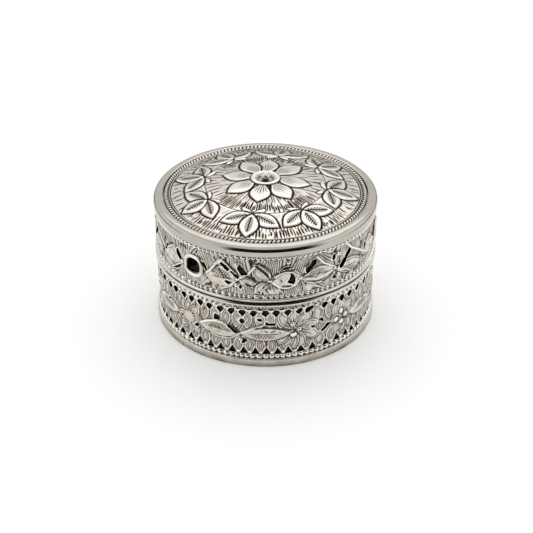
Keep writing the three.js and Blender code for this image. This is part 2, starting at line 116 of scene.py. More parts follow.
def hatch(phase, sharpness):
    """Grooves cut side by side: 1 at each groove's bottom, 0 between, from a phase that grows by 1 a groove."""
    return (0.5 + 0.5 * np.cos(2 * np.pi * phase)) ** sharpness


def drift(x, y, z, length, seed):
    """Smooth noise of about -1 to 1: the sum of seven plane waves, each about length long, in random ways."""
    rng = np.random.default_rng(seed)
    total = np.zeros(np.broadcast(x, y, z).shape)
    for _ in range(7):
        way = rng.normal(size=3)
        way *= 2 * np.pi / (np.linalg.norm(way) * length * rng.uniform(0.7, 1.6))
        total += np.sin(x * way[0] + y * way[1] + z * way[2] + rng.uniform(0, 2 * np.pi))
    return total / 3


def blurred(values, radius):
    """Two passes of a running mean along each direction of a grid; the columns run all the way round."""
    span = 2 * radius + 1
    for _ in range(2):
        values = sum(np.roll(values, shift, axis=1) for shift in range(-radius, radius + 1)) / span
        padded = np.pad(values, ((radius, radius), (0, 0)), mode="edge")
        values = sum(padded[shift:shift + len(values)] for shift in range(span)) / span
    return values


def around(columns):
    """Angles of so many points, evenly all the way round."""
    return np.arange(columns) * 360 / columns


def round_place(radius, degrees, height):
    """Points at a distance from the axis, an angle from the front and a height, as an array of x, y, z."""
    turn = np.radians(degrees)
    return np.stack(np.broadcast_arrays(radius * np.sin(turn), -radius * np.cos(turn), height), axis=-1)


# Meshes

def between(first, count, second, other):
    """Faces that join two rows of points that run round the axis, from each row's first index and number:
    triangles to a single point, quads to a like number, faces of k + 3 corners to k times as many."""
    few, many = sorted((count, other))
    here = np.arange(many if few == 1 else few)
    after = (here + 1) % len(here)
    if count == 1:
        return np.stack([0 * here + first, second + after, second + here], axis=1)
    if other == 1:
        return np.stack([first + here, first + after, 0 * here + second], axis=1)
    ratio = many // few
    here, after = here[:, None], after[:, None]
    run = (here * ratio + np.arange(ratio + 1)) % many
    if count < other:
        return np.concatenate([first + here, first + after, second + run[:, ::-1]], axis=1)
    return np.concatenate([first + run, second + after, second + here], axis=1)


def enclosed(points, groups):
    """Six times the volume that the faces enclose, positive where they point outwards."""
    total = 0.0
    for faces in groups:
        for corner in range(1, faces.shape[1] - 1):
            normal = np.cross(points[faces[:, corner]], points[faces[:, corner + 1]])
            total += float((points[faces[:, 0]] * normal).sum())
    return total


def placed(name, data):
    """A new object for its data, in the scene."""
    new = bpy.data.objects.new(name, data)
    bpy.context.scene.collection.objects.link(new)
    return new


def shade(mesh, sharp_degrees):
    """Shades a mesh smooth, with a crease at each edge that turns by more than an angle."""
    mesh.polygons.foreach_set("use_smooth", np.ones(len(mesh.polygons), bool))
    if sharp_degrees:
        mesh.set_sharp_from_angle(angle=math.radians(sharp_degrees))


def new_piece(name, points, groups, material, sharp_degrees=None):
    """A mesh object from points in mm and groups of faces of like corner number, turned outwards."""
    if enclosed(points, groups) < 0:
        groups = [faces[:, ::-1] for faces in groups]
    mesh = bpy.data.meshes.new(name)
    corners = np.concatenate([faces.ravel() for faces in groups])
    sizes = np.concatenate([np.full(len(faces), faces.shape[1]) for faces in groups])
    mesh.vertices.add(len(points))
    mesh.vertices.foreach_set("co", (points * MM).astype(np.float32).ravel())
    mesh.loops.add(len(corners))
    mesh.loops.foreach_set("vertex_index", corners.astype(np.int32))
    mesh.polygons.add(len(sizes))
    mesh.polygons.foreach_set("loop_start", (np.cumsum(sizes) - sizes).astype(np.int32))
    mesh.update(calc_edges=True)
    mesh.validate()
    shade(mesh, sharp_degrees)
    mesh.materials.append(material)
    return placed(name, mesh)


def skin(name, rows, material, closed=True, sharp_degrees=None):
    """A surface whose rows of points each run round the axis. Where closed, the last row joins the first;
    otherwise the first and last rows are single points on the axis."""
    counts = [len(row) for row in rows]
    starts = np.cumsum([0] + counts)
    order = list(range(len(rows))) + [0] * closed
    groups = [between(starts[a], counts[a], starts[b], counts[b]) for a, b in zip(order, order[1:])]
    return new_piece(name, np.concatenate(rows), groups, material, sharp_degrees)


def disc(name, outline, material, columns):
    """A round plate from an outline that starts and ends on the axis."""
    degrees = around(columns)
    rows = [round_place(radius, degrees if radius > 0 else degrees[:1], height) for radius, height in outline]
    return skin(name, rows, material, closed=False, sharp_degrees=40)


def arced(corners, radii, steps=5):
    """An outline with its corners rounded: each corner becomes a quadratic curve from a point one radius
    before it to a point one radius after it."""
    corners = np.asarray(corners, float)
    radii = np.broadcast_to(radii, len(corners))[:, None]
    ends = []
    for shift in (1, -1):
        line = np.roll(corners, shift, axis=0) - corners
        ends.append((corners + radii * line / np.linalg.norm(line, axis=1, keepdims=True))[:, None])
    part = np.linspace(0, 1, steps)[None, :, None]
    curve = (1 - part) ** 2 * ends[0] + 2 * part * (1 - part) * corners[:, None] + part ** 2 * ends[1]
    return curve.reshape(-1, 2)


def set_attribute(piece, name, values, domain="POINT"):
    """Stores one value for each vertex, or for each face corner, under a name."""
    layer = piece.data.attributes.new(name, "FLOAT", domain)
    layer.data.foreach_set("value", np.asarray(values, dtype=np.float32).ravel())


def mount_on(piece, body, node_name, patina_and_painted_light=None):
    """Makes a piece ride on a body and stand for a CAD node, whose part it hides, and gives it its
    patina and painted light, where it has one at each vertex."""
    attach(piece, body)
    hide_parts(node_name)
    if patina_and_painted_light is not None:
        set_attribute(piece, "patina_and_painted_light", patina_and_painted_light)


# The chased pattern, drawn as heights and darkening on a sheet

class Sheet:
    """A flat sheet that is chased: x across and y up in mm, its height, how dark its recesses are, and where
    it lies in space."""

    def __init__(self, x, y, space=None, period=None):
        self.x, self.y, self.space, self.period = x, y, space, period
        self.height = np.zeros(np.broadcast(x, y).shape)
        self.dark = np.zeros_like(self.height)

    def short_way(self, across):
        """A distance across, taken the short way round where the pattern repeats."""
        return (across + self.period / 2) % self.period - self.period / 2 if self.period else across

    def offset(self, point):
        """Distances across and up from a point."""
        return self.short_way(self.x - point[0]), self.y - point[1]

    def run(self, start, end):
        """The step from one point to another."""
        return np.array([self.short_way(end[0] - start[0]), end[1] - start[1]])

    def distance(self, points):
        """Distance from a line of straight stretches between points."""
        nearest = np.inf
        for start, end in zip(points, points[1:]):
            across, up = self.offset(start)
            line = self.run(start, end)
            share = np.clip((across * line[0] + up * line[1]) / (line @ line), 0, 1)
            nearest = np.minimum(nearest, np.hypot(across - share * line[0], up - share * line[1]))
        return nearest

    def cut(self, shape, depth, dark):
        """Lowers and darkens the sheet where shape is 1."""
        self.height = self.height - depth * shape
        self.dark = self.dark * (1 - shape) + np.maximum(self.dark, dark) * shape

    def rub(self, shape, bright=RUBBED):
        """Rubs the sheet bright where shape is 1."""
        self.dark = self.dark * (1 - shape) - bright * shape

    def raise_line(self, shape, rise):
        """Adds a bright ridge where shape is 1."""
        self.height = self.height + rise * shape
        self.rub(shape)

    def lay_rib(self, shape, rise, bright=RUBBED):
        """Brings the sheet up to a bright rib of a set height where shape is 1."""
        self.height = np.maximum(self.height, rise * shape + self.height * (1 - shape))
        self.rub(shape, bright)

    def ridge(self, points, width, rise=0.36):
        """A bright rib along a line, with a thin dark cut on both sides."""
        away = self.distance(points)
        self.cut(bump(away - width / 2 - 0.1, 0.14), 0.03, 0.55)
        self.lay_rib(bump(away, width / 2), rise)

    def groove(self, points, width):
        """A dark cut along a line."""
        self.cut(bump(self.distance(points), width / 2), 0.12, 0.9)

    def knob(self, place, width, tall, rise):
        """A round or oval swelling, the upper half of an ellipsoid, with a dark line round it."""
        across, up = self.offset(place)
        reach = np.hypot(across / (width / 2), up / (tall / 2))
        self.cut(bump(reach - 1.12, 0.16), 0.06, 0.85)
        cover = 1 - smooth(0.85, 1.05, reach)
        self.height = self.height * (1 - cover) + rise * np.sqrt(np.clip(1.08 - reach ** 2, 0, 1)) * cover
        self.rub(cover)

    def ticks(self, place, radius, count):
        """A ring of so many short dark cuts that point at a place, at a distance from it."""
        across, up = self.offset(place)
        turn = np.arctan2(up, across) / (2 * np.pi)
        self.cut(hatch(turn * count, 2) * bump(np.hypot(across, up) - radius, 0.3), 0.1, 1)

    def frame_hole(self, points):
        """A thin bright edge round a hole, where the saw's burr was rubbed down: a bell of the distance from
        its outline, stronger to the left of its middle."""
        across, up = self.offset(points.mean(axis=0))
        left = np.clip(0.7 - 0.35 * across / np.maximum(np.hypot(across, up), 0.1), 0.4, 1)
        away = self.distance(np.concatenate([points, points[:1]]))
        self.lay_rib(bump(away - 0.16, 0.2) * left, 0.22, 0.3)

    def crescent(self, place, size):
        """A curved bright rib at the upper left of a hole."""
        across, up = self.offset(place)
        reach = np.hypot(across, up)
        upper_left = (up - across) / np.maximum(reach, 0.1) / 1.41
        shape = bump(reach - size, 0.3) * smooth(0.1, 0.6, upper_left)
        self.height = np.maximum(self.height, 0.26 * shape)
        self.rub(shape, 0.4)

    def leaf(self, root, tip, width, rise=0.2, bend=0.0, fullness=0.62, middle=1.0, outline=0.72, groove=0.13,
             echo=0, fan=0, veined=False, rows=None, rubbed=0.0):
        """A leaf or petal. Its half width is a sine, to a power, of its share of the way from root to tip, to
        another power. It has a dark groove round it, a bright rim, and echo grooves that follow the outline
        inside it. It may have fanned cuts from its root, veins, or slanting rows of cuts in one half."""
        across, up = self.offset(root)
        line = self.run(root, tip)
        length = math.hypot(*line)
        line = line / length
        share = (across * line[0] + up * line[1]) / length
        inner = np.clip(share, 0, 1)
        side = up * line[0] - across * line[1] - 4 * bend * inner * (1 - inner)
        step = 0.02
        half, wider = (width / 2 * np.sin(np.pi * np.clip(inner + ahead, 0, 1) ** middle) ** fullness
                        for ahead in (0, step))
        slope = (wider - half) / (step * length)
        depth = (half - np.abs(side)) / np.sqrt(1 + np.minimum(slope ** 2, 4))
        beyond = np.maximum(np.maximum(-share, share - 1), 0) * length
        depth = np.where(beyond > 0, -np.hypot(beyond, side), depth)
        cover = smooth(-0.12, 0.04, depth)
        lateral = np.abs(side) / np.maximum(half, 0.05)
        crown = (rise + 0.08 * (1 - np.clip(lateral, 0, 1) ** 2)) * smooth(-0.1, 0.3, depth)
        self.height = self.height * (1 - cover) + cover * crown
        self.rub(cover, rubbed)
        self.cut(bump(depth + groove, groove), 0.07, outline)
        self.raise_line(bump(depth - 0.2, 0.16) * 0.8, 0.05)
        for number in range(echo):
            line = bump(depth - 0.55 - 0.56 * number, 0.12)
            self.cut(line * smooth(0.02, 0.2, share), 0.06, 0.9 - 0.15 * number)
        field = smooth(0.45, 0.7, depth)
        if fan:
            rays = hatch(np.clip(side / np.maximum(half, 0.3), -1, 1) * fan / 2, 3) * smooth(0.08, 0.2, share)
            self.cut(rays * field * (1 - smooth(0.45, 0.75, share + 0.25 * lateral)), 0.07, 1)
        if veined:
            self.veins(share, side, length, field)
        if rows:
            spacing, slant, half_side = rows
            cuts = hatch((share * length + slant * side) / spacing, 2) * smooth(0.2, 0.4, -half_side * side)
            self.cut(cuts * smooth(0.15, 0.3, share) * (1 - smooth(0.6, 0.75, share)) * field, 0.07, 0.85)
            self.cut(bump(side, 0.16) * smooth(0.1, 0.2, share) * (1 - smooth(0.7, 0.82, share)), 0.06, 0.75)

    def veins(self, share, side, length, field, start=0.12, stop=0.86, spacing=0.85, reach=1.3, dark=1.25):
        """A midrib from start to stop, and side cuts at a spacing that slant forward and end at a distance."""
        part = smooth(start, start + 0.08, share) * (1 - smooth(stop - 0.1, stop, share))
        swell = np.sin(np.pi * np.clip((share - start) / (stop - start), 0, 1))
        self.cut(bump(side, 0.17) * part, 0.1, dark)
        phase = (share * length - 0.95 * np.abs(side)) / spacing + 0.25 * (side > 0)
        barbs = hatch(phase, 2.2) * (1 - smooth(0.75, 1, np.abs(side) / (reach * (0.35 + 0.65 * swell))))
        self.cut(barbs * part * field, 0.09, dark)

    def patina_and_painted_light(self, reach=3):
        """How dark each place is: the recesses of the pattern, where a place lies lower than its
        surroundings, and the cuts; what stands proud is rubbed bright, below the middle value."""
        return np.clip(0.25 + 0.8 * (blurred(self.height, reach) - self.height) + 0.68 * self.dark, 0, 1)


# The walls' pattern: places are pairs of the angle round the box and the height up it

BASE_HOLES = [
    (-61, 13.6, -59.8, 14.4, -58, 14.4, -58.8, 13.8),
    (-48.8, 11.9, -48.2, 12.2, -46.7, 12, -46.6, 11.5, -47.4, 11.1, -48.4, 11.4),
    (-39, 10.4, -36.9, 11.6, -36, 11.4, -36.4, 10.1, -38, 10),
    (-26.4, 17.2, -23.8, 17, -23.4, 15.2, -27, 15, -26.8, 15.9),
    (-20.1, 13.9, -18.9, 14.2, -13.2, 12.1, -14, 11.6, -15.6, 11.6),
    (-13.3, 16.4, -12.5, 17.2, -11.2, 17.2, -10.3, 16.3, -10.9, 15.4, -12.3, 15.3),
    (-11.6, 10.5, -9, 9.7, -9.2, 9.1, -11, 8.2, -12.2, 8.3, -11.8, 9.4),
    (-4.4, 17.2, -3.8, 17.7, -2, 17.5, -1.3, 17, -2.2, 16.5, -3.6, 16.5),
    (-0.2, 15.2, 0.1, 16.6, 1.6, 15.9, 5, 15.8, 5.2, 15, 2.2, 15),
    (23, 13.2, 24.6, 13.2, 26, 12.8, 25.4, 12.1, 23.8, 12.3),
    (27, 14.3, 28.8, 15.1, 29.9, 15, 31, 13.7, 30.2, 13.3, 28.8, 14.1),
    (28.8, 10.1, 31.4, 11.7, 33, 12.5, 34.5, 12.1, 36.6, 12.1, 34, 11.2, 32, 10.3, 30, 9.8),
    (19.9, 19.4, 20.4, 18.1, 22.4, 18.5, 24.9, 19.5, 24.2, 20.4, 21, 20.2),
]
DIAMOND_ANGLES = [-58, -53, -46, -40.5, -34.8, -29.2, -23.3, -17.3, -11.6, -6,
                  0, 5.2, 11, 17, 31, 36.5, 42, 48, 54.5]
TRIANGLE_ANGLES = [-59.5, -53.5, -48, -41.5, -35.5, -29, -23.2, -17, -11, -5,
                   0.5, 6.3, 11.6, 18, 24.4, 32.3, 39.3, 45.8, 50.6, 55.4]
# Where a larger hole, the last of BASE_HOLES, takes a diamond's place
DIAMOND_GAP = 22.5
# Each row of small holes: their angles, height, corners about it in mm, and seed
HOLE_ROWS = [
    (DIAMOND_ANGLES, 19.3, [(-1.2, -0.1), (-0.5, 0.95), (0.6, 0.95), (1.2, -0.05), (0, -1.45)], 41),
    (TRIANGLE_ANGLES, 5.4, [(-1.45, -1.1), (1.45, -1.1), (0, 1.5)], 42),
]
# Each row of petals between them: the angles, heights of root and tip, then the knobs' place up the wall, width,
# height and rise
PETAL_ROWS = [(DIAMOND_ANGLES + [DIAMOND_GAP], 13.6, 20.2, 20.35, (1.7, 1.2, 0.36)),
              (TRIANGLE_ANGLES, 10.9, 4.5, 5.05, (1.5, 1.3, 0.3))]
# Grains and the bud that are soldered on
BASE_GRAINS = [(-12.5, 9.5), (13.6, 14.95), (17.1, 12.85), (44.4, 12.7)]
BASE_BUD = (-42.4, 12.3)
# Petals of the three flowers: places of root and tip, then width
BASE_PETALS = [
    (-42.4, 12.4, -48.4, 17.2, 3.6), (-42.4, 12.4, -42.4, 18.6, 3.7), (-42.4, 12.4, -36.2, 17.4, 3.7),
    (-42.4, 12.4, -34, 12.9, 3.2), (-42.4, 12.2, -36.2, 7.6, 3.7), (-42.4, 12.2, -42.2, 6.3, 3.7),
    (-42.4, 12.2, -48.6, 7.6, 3.7), (-42.4, 12.3, -51.4, 11.6, 3.2),
    (14, 13.2, 6.6, 19, 3.9), (14.2, 13.4, 14, 20.2, 3.5), (14.4, 13.4, 23.6, 18.2, 4.2),
    (14.4, 13.2, 28.4, 14.2, 3.8), (14.4, 13, 28.4, 9, 4.4), (14.4, 12.8, 20, 6.2, 3.8),
    (14.4, 12.8, 14.8, 6, 3), (14.2, 12.8, 9.4, 6.4, 3.4), (14, 13, 5.4, 8, 3.2),
    (42.8, 12.6, 36.6, 17.4, 3.7), (42.8, 12.6, 42.6, 18.9, 3.7), (42.8, 12.6, 49.2, 16.8, 3.7),
    (42.8, 12.5, 52, 12.6, 3.2), (42.8, 12.4, 49.2, 7.6, 3.7), (42.8, 12.4, 43.4, 6.3, 3.7),
    (42.8, 12.4, 36.6, 7.2, 3.6), (42.8, 12.5, 34.8, 12.6, 3),
]
# Ribs: width, rise and places; then dark cuts between two places
BASE_RIDGES = [
    (0.75, 0.36, -13, 11.7, -9, 12.9, -5, 14.3, -1.5, 15),
    (0.7, 0.36, -35, 12.2, -31, 13.6, -26, 14.6, -22, 14.5, -19.8, 14.1),
    (0.45, 0.3, -12.9, 11.7, -16, 12, -20, 13.4),
    (0.45, 0.28, -13.2, 11.2, -18, 9.4, -24, 9, -29, 9.6),
]
BASE_CUTS = [
    (-29.8, 12.2, -28.9, 12.4), (-28.2, 13.1, -27.6, 12.6), (-26.4, 12.9, -25.6, 12.4), (-24.6, 12.7, -23.4, 12.3),
    (-0.2, 13.1, 1, 12.7), (2.8, 12.6, 4.6, 13.1), (7, 12.6, 7.6, 12.2), (-31.9, 18.2, -32.6, 17.4),
    (-37.9, 18.6, -37.5, 16.9), (-41.2, 18.2, -41.9, 16.9), (-35.4, 10.4, -36.2, 9.5), (-43.4, 9, -43.1, 7.2),
    (-47.9, 17.6, -48.6, 16.8), (10.4, 18.6, 11.4, 17.4), (13.4, 6.2, 14.4, 5.4), (24.2, 18, 23.8, 16.4),
    (21.2, 9.3, 23.6, 8.4), (5.6, 9.2, 6.6, 7.2),
]
# Knobs: place, then width and height
BASE_KNOBS = [(14.2, 11.2, 2.1, 2), (45.2, 12.6, 2.1, 2.1), (42.4, 10.6, 2, 1.8), (38.6, 12.2, 1.9, 1.8),
              (42, 14.6, 1.7, 2)]
# The large oval opening that an eye ring frames, then the other holes
LID_EYE_HOLE = (-42.6, 31.4, -42, 33.2, -40.2, 33.9, -36.6, 33.8, -35, 32.9, -34.6, 31, -35, 29.8,
                -38.4, 29.3, -41.8, 29.5)
LID_HOLES = [
    (-54.8, 26.75, -51.6, 27.3, -48.8, 28.3, -46.2, 29.95, -49, 29.25, -52, 27.95),
    (-50.7, 34.2, -49.6, 35, -48.8, 34.7, -46.4, 32, -46.8, 31.5, -48.2, 31.9, -50.5, 33.4),
    (-34.1, 34.2, -31.4, 34.1, -30.4, 32.8, -30, 31.8, -30.9, 31.3, -31.6, 32.3, -32.7, 33.1),
    (-23.1, 35.2, -21.8, 36, -17.4, 33.9, -18.8, 33.1),
    (-17.7, 33.2, -16.7, 33.7, -13, 31.6, -13.9, 31.1),
    (-20.6, 29.6, -19.6, 30.1, -16.3, 29.7, -17.9, 28.7, -18.8, 28.7),
    (-12.7, 36.3, -8.4, 32.9, -11.9, 32.2, -14.1, 34.6, -13.2, 35.4),
    (-13.3, 28.3, -12.3, 29.3, -11.2, 28.4, -12.4, 27.4),
    (6.8, 33.9, 8.4, 34.3, 10.2, 34.5, 13.8, 34.9, 11.8, 35.3, 9.4, 35.3, 8.2, 34.8),
    (12, 33.4, 13.6, 32.9, 14.7, 31.5, 14.6, 30, 13.8, 29.2, 10.3, 30.1, 11.5, 31.2, 12.1, 32.3),
    (20, 34.2, 22.4, 35.2, 23.2, 36.2, 24.9, 36.5, 26, 35.7, 23.6, 33.5, 20.8, 32.3, 20, 32.6),
    (34.6, 34.9, 35.3, 36.2, 36.6, 36, 37.1, 34.8, 36.2, 34, 34.9, 34.2),
    (36.2, 29.5, 35.2, 28.2, 35.4, 27.5, 38.6, 27.4, 37.2, 28.4),
    (39.1, 31.2, 46.4, 36.2, 48.2, 34.8, 41.3, 30.2, 40, 30.3),
    (58.7, 31.6, 60.4, 34, 61.6, 33.8, 61.4, 32.9, 60, 31.2),
]
LID_EYE = (-38.3, 31.5)
LID_GRAINS = [(-14.2, 35.6), (-14.2, 28.7), (38, 35.7), (38.6, 28.5)]
# Leaves: root, tip, width and what is special about each
LID_LEAVES = [
    (2.3, 30.6, -5.6, 26.4, 3.4, dict(echo=1)),
    (2.3, 30.4, 0.2, 25.4, 3, dict(fan=3)),
    (2.4, 30.4, 5.6, 25.4, 3.6, dict(fan=4)),
    (2.3, 30.9, -5.2, 36.4, 5.2, dict(bend=0.6, echo=2)),
    (-13.6, 30.8, -4.4, 29.8, 3.2, dict(echo=1)),
    (-13.6, 30.9, -31.2, 30.7, 7.4, dict(bend=0.2, fullness=0.9, rows=(0.8, -0.6, 1))),
    (17.8, 30.9, 36.4, 31, 4.6, dict(rise=0.26, bend=0.3, rows=(0.8, 0.9, -1))),
    (37.6, 30.8, 56.2, 29.6, 4.8, dict(rise=0.26, bend=-0.3, echo=1, rows=(0.8, 0.7, 1))),
    (-46, 31.2, -62.5, 31, 5.4, dict(rise=0.24, echo=1)),
    (2.4, 30.9, 17.4, 30.9, 6.2, dict(rise=0.32, fullness=0.6)),
]
# Ribs, then dark cuts: width and places
LID_RIDGES = [
    (0.6, -30.4, 30.8, -26.4, 33.8, -22.2, 36.6, -21.2, 36.5, -17, 34, -13.2, 31.2), (0.35, -26, 34.6, -23, 36.9),
    (0.3, -20.2, 36.4, -14.4, 32.8), (0.5, -30.4, 30.4, -26.5, 28, -22.2, 26.7, -17.5, 28, -14.2, 30.4),
    (0.6, -12.8, 31.4, -8.4, 32.9, -5.2, 35.6), (0.5, -12.8, 31, -9.4, 28.7, -5.2, 28.3),
    (0.35, -3.8, 34.8, 0.2, 32.4, 2, 31), (0.35, -3, 36.2, 1.6, 33.6, 2.8, 31.2),
    (0.35, 2.3, 30.6, -1.6, 30.2, -4.6, 28.8, -4.8, 27), (0.35, 1.6, 29.6, -1.2, 28, -2.6, 26),
    (0.4, 2.8, 30.2, 6, 28.7, 8.6, 26), (0.6, 2.6, 30.9, 6.8, 33.2, 10, 33.9, 13.2, 33.6, 15.8, 32.4, 17.2, 31),
    (0.6, 3.2, 30.5, 7.6, 28.3, 11.6, 28, 14.8, 28.7, 17, 30.6), (0.35, 14.2, 33.9, 17, 32.4, 17.6, 31.2),
    (0.35, 17.6, 31, 20.6, 31.8, 24, 33.4, 26.4, 36.8), (0.65, 25.8, 37.2, 30, 34.2, 36.2, 31.9),
    (0.3, 27.2, 37.2, 31, 34.8, 35.6, 32.8), (0.4, 17.6, 30.8, 21, 29, 25, 28.1, 29, 28),
    (0.3, 17.4, 30.6, 19.2, 28.4, 19.4, 26), (0.75, 44.8, 37.6, 47.6, 35.8, 55, 32.8, 60.6, 30.6),
    (0.35, 38, 29.8, 44, 29.2, 47.6, 27.6), (0.5, -46.2, 31, -53.5, 34.8, -61.6, 31.6),
    (0.4, -46.6, 30.6, -53, 27.6, -60, 28.6),
]
LID_CUTS = [
    (0.75, -4.4, 35.9, -0.6, 33.9, 0.8, 33), (0.4, 0.8, 33, 2.2, 31.4), (0.5, -1.4, 30.5, 0.7, 30.4),
    (0.6, 3.3, 31.3, 4.4, 31.8), (0.4, 0.9, 29.5, 2.2, 29), (0.4, 1.4, 28.6, 1.6, 28),
    (0.35, 2.5, 28.8, 2.6, 28.1),
    (0.35, 0.2, 28, 0.3, 27.3), (0.4, -3.3, 27.4, -2.7, 26.6), (0.8, 7.2, 34, 9, 34.9, 11.4, 35),
    (0.4, 11.4, 35, 13.6, 35.2), (0.6, 8.4, 28.9, 12.3, 28.8), (0.4, 7.4, 31.2, 7.9, 30.6),
    (0.5, -27, 32, -24.4, 34),
    (0.3, -27, 31.9, -25.2, 32), (0.45, -23.4, 33.6, -21.8, 32.2), (0.4, -21.6, 32, -20.6, 30.6),
    (0.35, -20.4, 31.8, -19, 30.9), (0.4, -24.2, 27.8, -23.4, 27.4), (0.35, -22, 27.8, -21.2, 27.6),
    (0.4, -17.9, 31, -17.6, 30.6), (0.6, -9.4, 29.7, -7.2, 28.9), (0.4, -6.6, 32.4, -5.4, 31),
    (0.3, -5.6, 32, -4.8, 31.2), (0.35, 19.4, 31.1, 23, 30.8, 25.6, 30.2), (0.35, 25.6, 30.4, 27.2, 31.6),
    (0.3, 29.4, 30.6, 35.4, 31.4), (0.5, 36, 30.6, 33.2, 28.6, 29, 27.8), (0.9, -47.4, 36.9, -46.2, 36.8),
    (0.9, -45, 36.9, -43.4, 36.4), (0.7, -36.4, 37, -36.3, 36.6), (0.7, -26, 36.9, -25.4, 36.3),
    (0.6, -43.4, 28.4, -43.6, 27.8), (0.5, -37.2, 26.2, -37.6, 25.9), (0.5, -45.6, 25.6, -46.2, 25),
    (0.5, -34, 34.1, -31.4, 33.9), (0.5, 39.9, 34.4, 39.2, 32.6), (0.5, 46, 27.9, 46.9, 26.6),
    (0.4, 41.6, 27.6, 42.4, 26), (0.8, 51.4, 26.8, 53.8, 27.2), (0.7, 56.4, 33.2, 58.4, 35.4),
    (0.5, 55.6, 31, 55.6, 28.8), (0.4, -61.6, 33, -57.6, 34.2, -53.6, 35.4), (0.9, -62.4, 34.9, -62, 34.7),
    (0.9, -64.2, 27.9, -63.4, 27.2), (0.35, -52.2, 25.9, -50, 26.9), (0.4, 14.4, 36.4, 15.4, 37.2),
]
LID_KNOBS = [(-13.8, 30.9), (2.3, 30.9), (17.5, 31), (36.7, 31.2), (-46.2, 31.1), (11.3, 36.7)]
# How much lower a place seen at the lips' radius lies on the wall behind
SIGHT_DROP = 0.15


def at(*numbers):
    """Places on a wall in mm, from angles and heights in turn: the angle times the arc of one degree across,
    and the height up. Heights are those of the lips' radius, seen from above, so on the wall behind they lie
    a little lower."""
    return (np.reshape(numbers, (-1, 2)) * (MM_PER_DEGREE, 1) - (0, SIGHT_DROP)).squeeze()


def ground_hatch(sheet, depth, seed, dark):
    """Chased lines that lean this way and that along the wall, like fans about its motifs: the phase is the
    distance across, plus the distance from mid-height times a slowly changing lean. They fade in and out."""
    x, y, z = sheet.space
    pitch = MM_PER_DEGREE * 360 / WALL_COLUMNS * HATCH_COLUMNS
    middle = (sheet.y.min() + sheet.y.max()) / 2
    lean = 0.45 * drift(x, y, 0 * z, 12, seed)
    phase = (sheet.x + lean * (sheet.y - middle)) / pitch + 0.25 * drift(x, y, z * 0.4, 5, seed + 1)
    strength = np.clip(0.8 + 0.4 * drift(x, y, z, 3, seed + 2), 0.3, 1)
    sheet.cut(hatch(phase, 2.4) * strength, depth, dark)


def tool_marks(sheet, seed, pitch=0.7):
    """Short marks of the chasing tools, in patches over leaves and ground alike: bands of two crossing
    directions that wander, each shown only where its own slow noise is high."""
    for step, slant in enumerate((0.8, -0.6)):
        phase = (sheet.x + slant * sheet.y) / pitch + 0.6 * drift(*sheet.space, 5, seed + 3 * step)
        patch = smooth(0.15, 0.9, drift(*sheet.space, 2.4, seed + 3 * step + 1))
        sheet.cut(hatch(phase, 2.5) * patch, 0.035, 0.35)


def draw_base(sheet):
    """The lower wall: leaning ground lines, a row of petals between the diamonds and one between the
    triangles, three flowers with leaves between them, then tool marks, ribs, knobs and the holes' edges."""
    ground_hatch(sheet, 0.08, 11, 0.8)
    rng = np.random.default_rng(5)
    for angles, root, tip, knob_height, knob in PETAL_ROWS:
        angles = np.sort(angles)
        ahead = np.append(angles[1:], angles[0] + REPEAT_DEGREES)
        for middle, gap in zip((angles + ahead) / 2, ahead - angles):
            width = 0.9 * gap * MM_PER_DEGREE
            sheet.leaf(*at(middle + rng.uniform(-0.6, 0.6), root, middle, tip), width, 0.12, echo=2, fullness=0.8)
            sheet.knob(at(middle, knob_height), *knob)
    for *ends, width in BASE_PETALS:
        sheet.leaf(*at(*ends), width, 0.18, fan=5, echo=1, middle=1.1, fullness=0.7)
    sheet.leaf(*at(-12.9, 11.8, -35.6, 12), 5.3, 0.28, bend=-0.3, rows=(0.85, 0.9, 1))
    sheet.leaf(*at(-12.2, 11.7, 12.6, 12), 4.7, 0.28, rows=(0.95, -0.8, 1))
    sheet.leaf(*at(69, 12, 48.8, 12), 4.6, 0.26, rows=(0.9, 0.8, 1))
    tool_marks(sheet, 71)
    for width, rise, *places in BASE_RIDGES:
        sheet.ridge(at(*places), width, rise)
    for places in BASE_CUTS:
        sheet.groove(at(*places), 0.3)
    for *place, width, tall in BASE_KNOBS:
        sheet.knob(at(*place), width, tall, 0.42)
    for place in BASE_GRAINS[1:]:
        sheet.ticks(at(*place), 1.05, 9)
    for angles, height, corners, _ in HOLE_ROWS:
        for degrees in angles:
            sheet.frame_hole(np.add(corners, (degrees * MM_PER_DEGREE, height)))
    for hole in BASE_HOLES:
        sheet.frame_hole(at(*hole))
    sheet.crescent(at(-11.8, 16.3), 1.15)


def draw_lid(sheet):
    """The upper wall: leaning ground lines, linked leaves and petals, tool marks over them, then the ribs
    that outline the motifs, dark cuts, knobs and the holes' edges."""
    ground_hatch(sheet, 0.09, 31, 0.9)
    for *ends, width, features in LID_LEAVES:
        sheet.leaf(*at(*ends), width, **features)
    tool_marks(sheet, 81)
    for width, *places in LID_RIDGES:
        sheet.ridge(at(*places), width)
    for width, *places in LID_CUTS:
        sheet.groove(at(*places), 0.75 * width)
    for place in LID_KNOBS:
        sheet.knob(at(*place), 1.35, 1.2, 0.4)
    for hole in LID_HOLES:
        sheet.frame_hole(at(*hole))


# Piercings, sawn by hand

# Radius that the saw leaves in a corner, how far a hand misses a corner, and the metal left under a hole
SAW_ROUNDING = 0.2
HAND_ERROR = 0.09
LEAST_MARGIN = 0.06


def rounded_hole(corners):
    """A sawn hole's outline, counter-clockwise: its corners rounded by the saw's thickness, and by less than
    half of the shorter side at each corner. The order is turned round where the area comes out negative."""
    ahead = np.roll(corners, -1, axis=0)
    if (corners[:, 0] * ahead[:, 1] - ahead[:, 0] * corners[:, 1]).sum() < 0:
        corners = corners[::-1]
    sides = np.linalg.norm(np.roll(corners, -1, axis=0) - corners, axis=1)
    return arced(corners, np.minimum(SAW_ROUNDING, 0.4 * np.minimum(sides, np.roll(sides, 1))), 4)


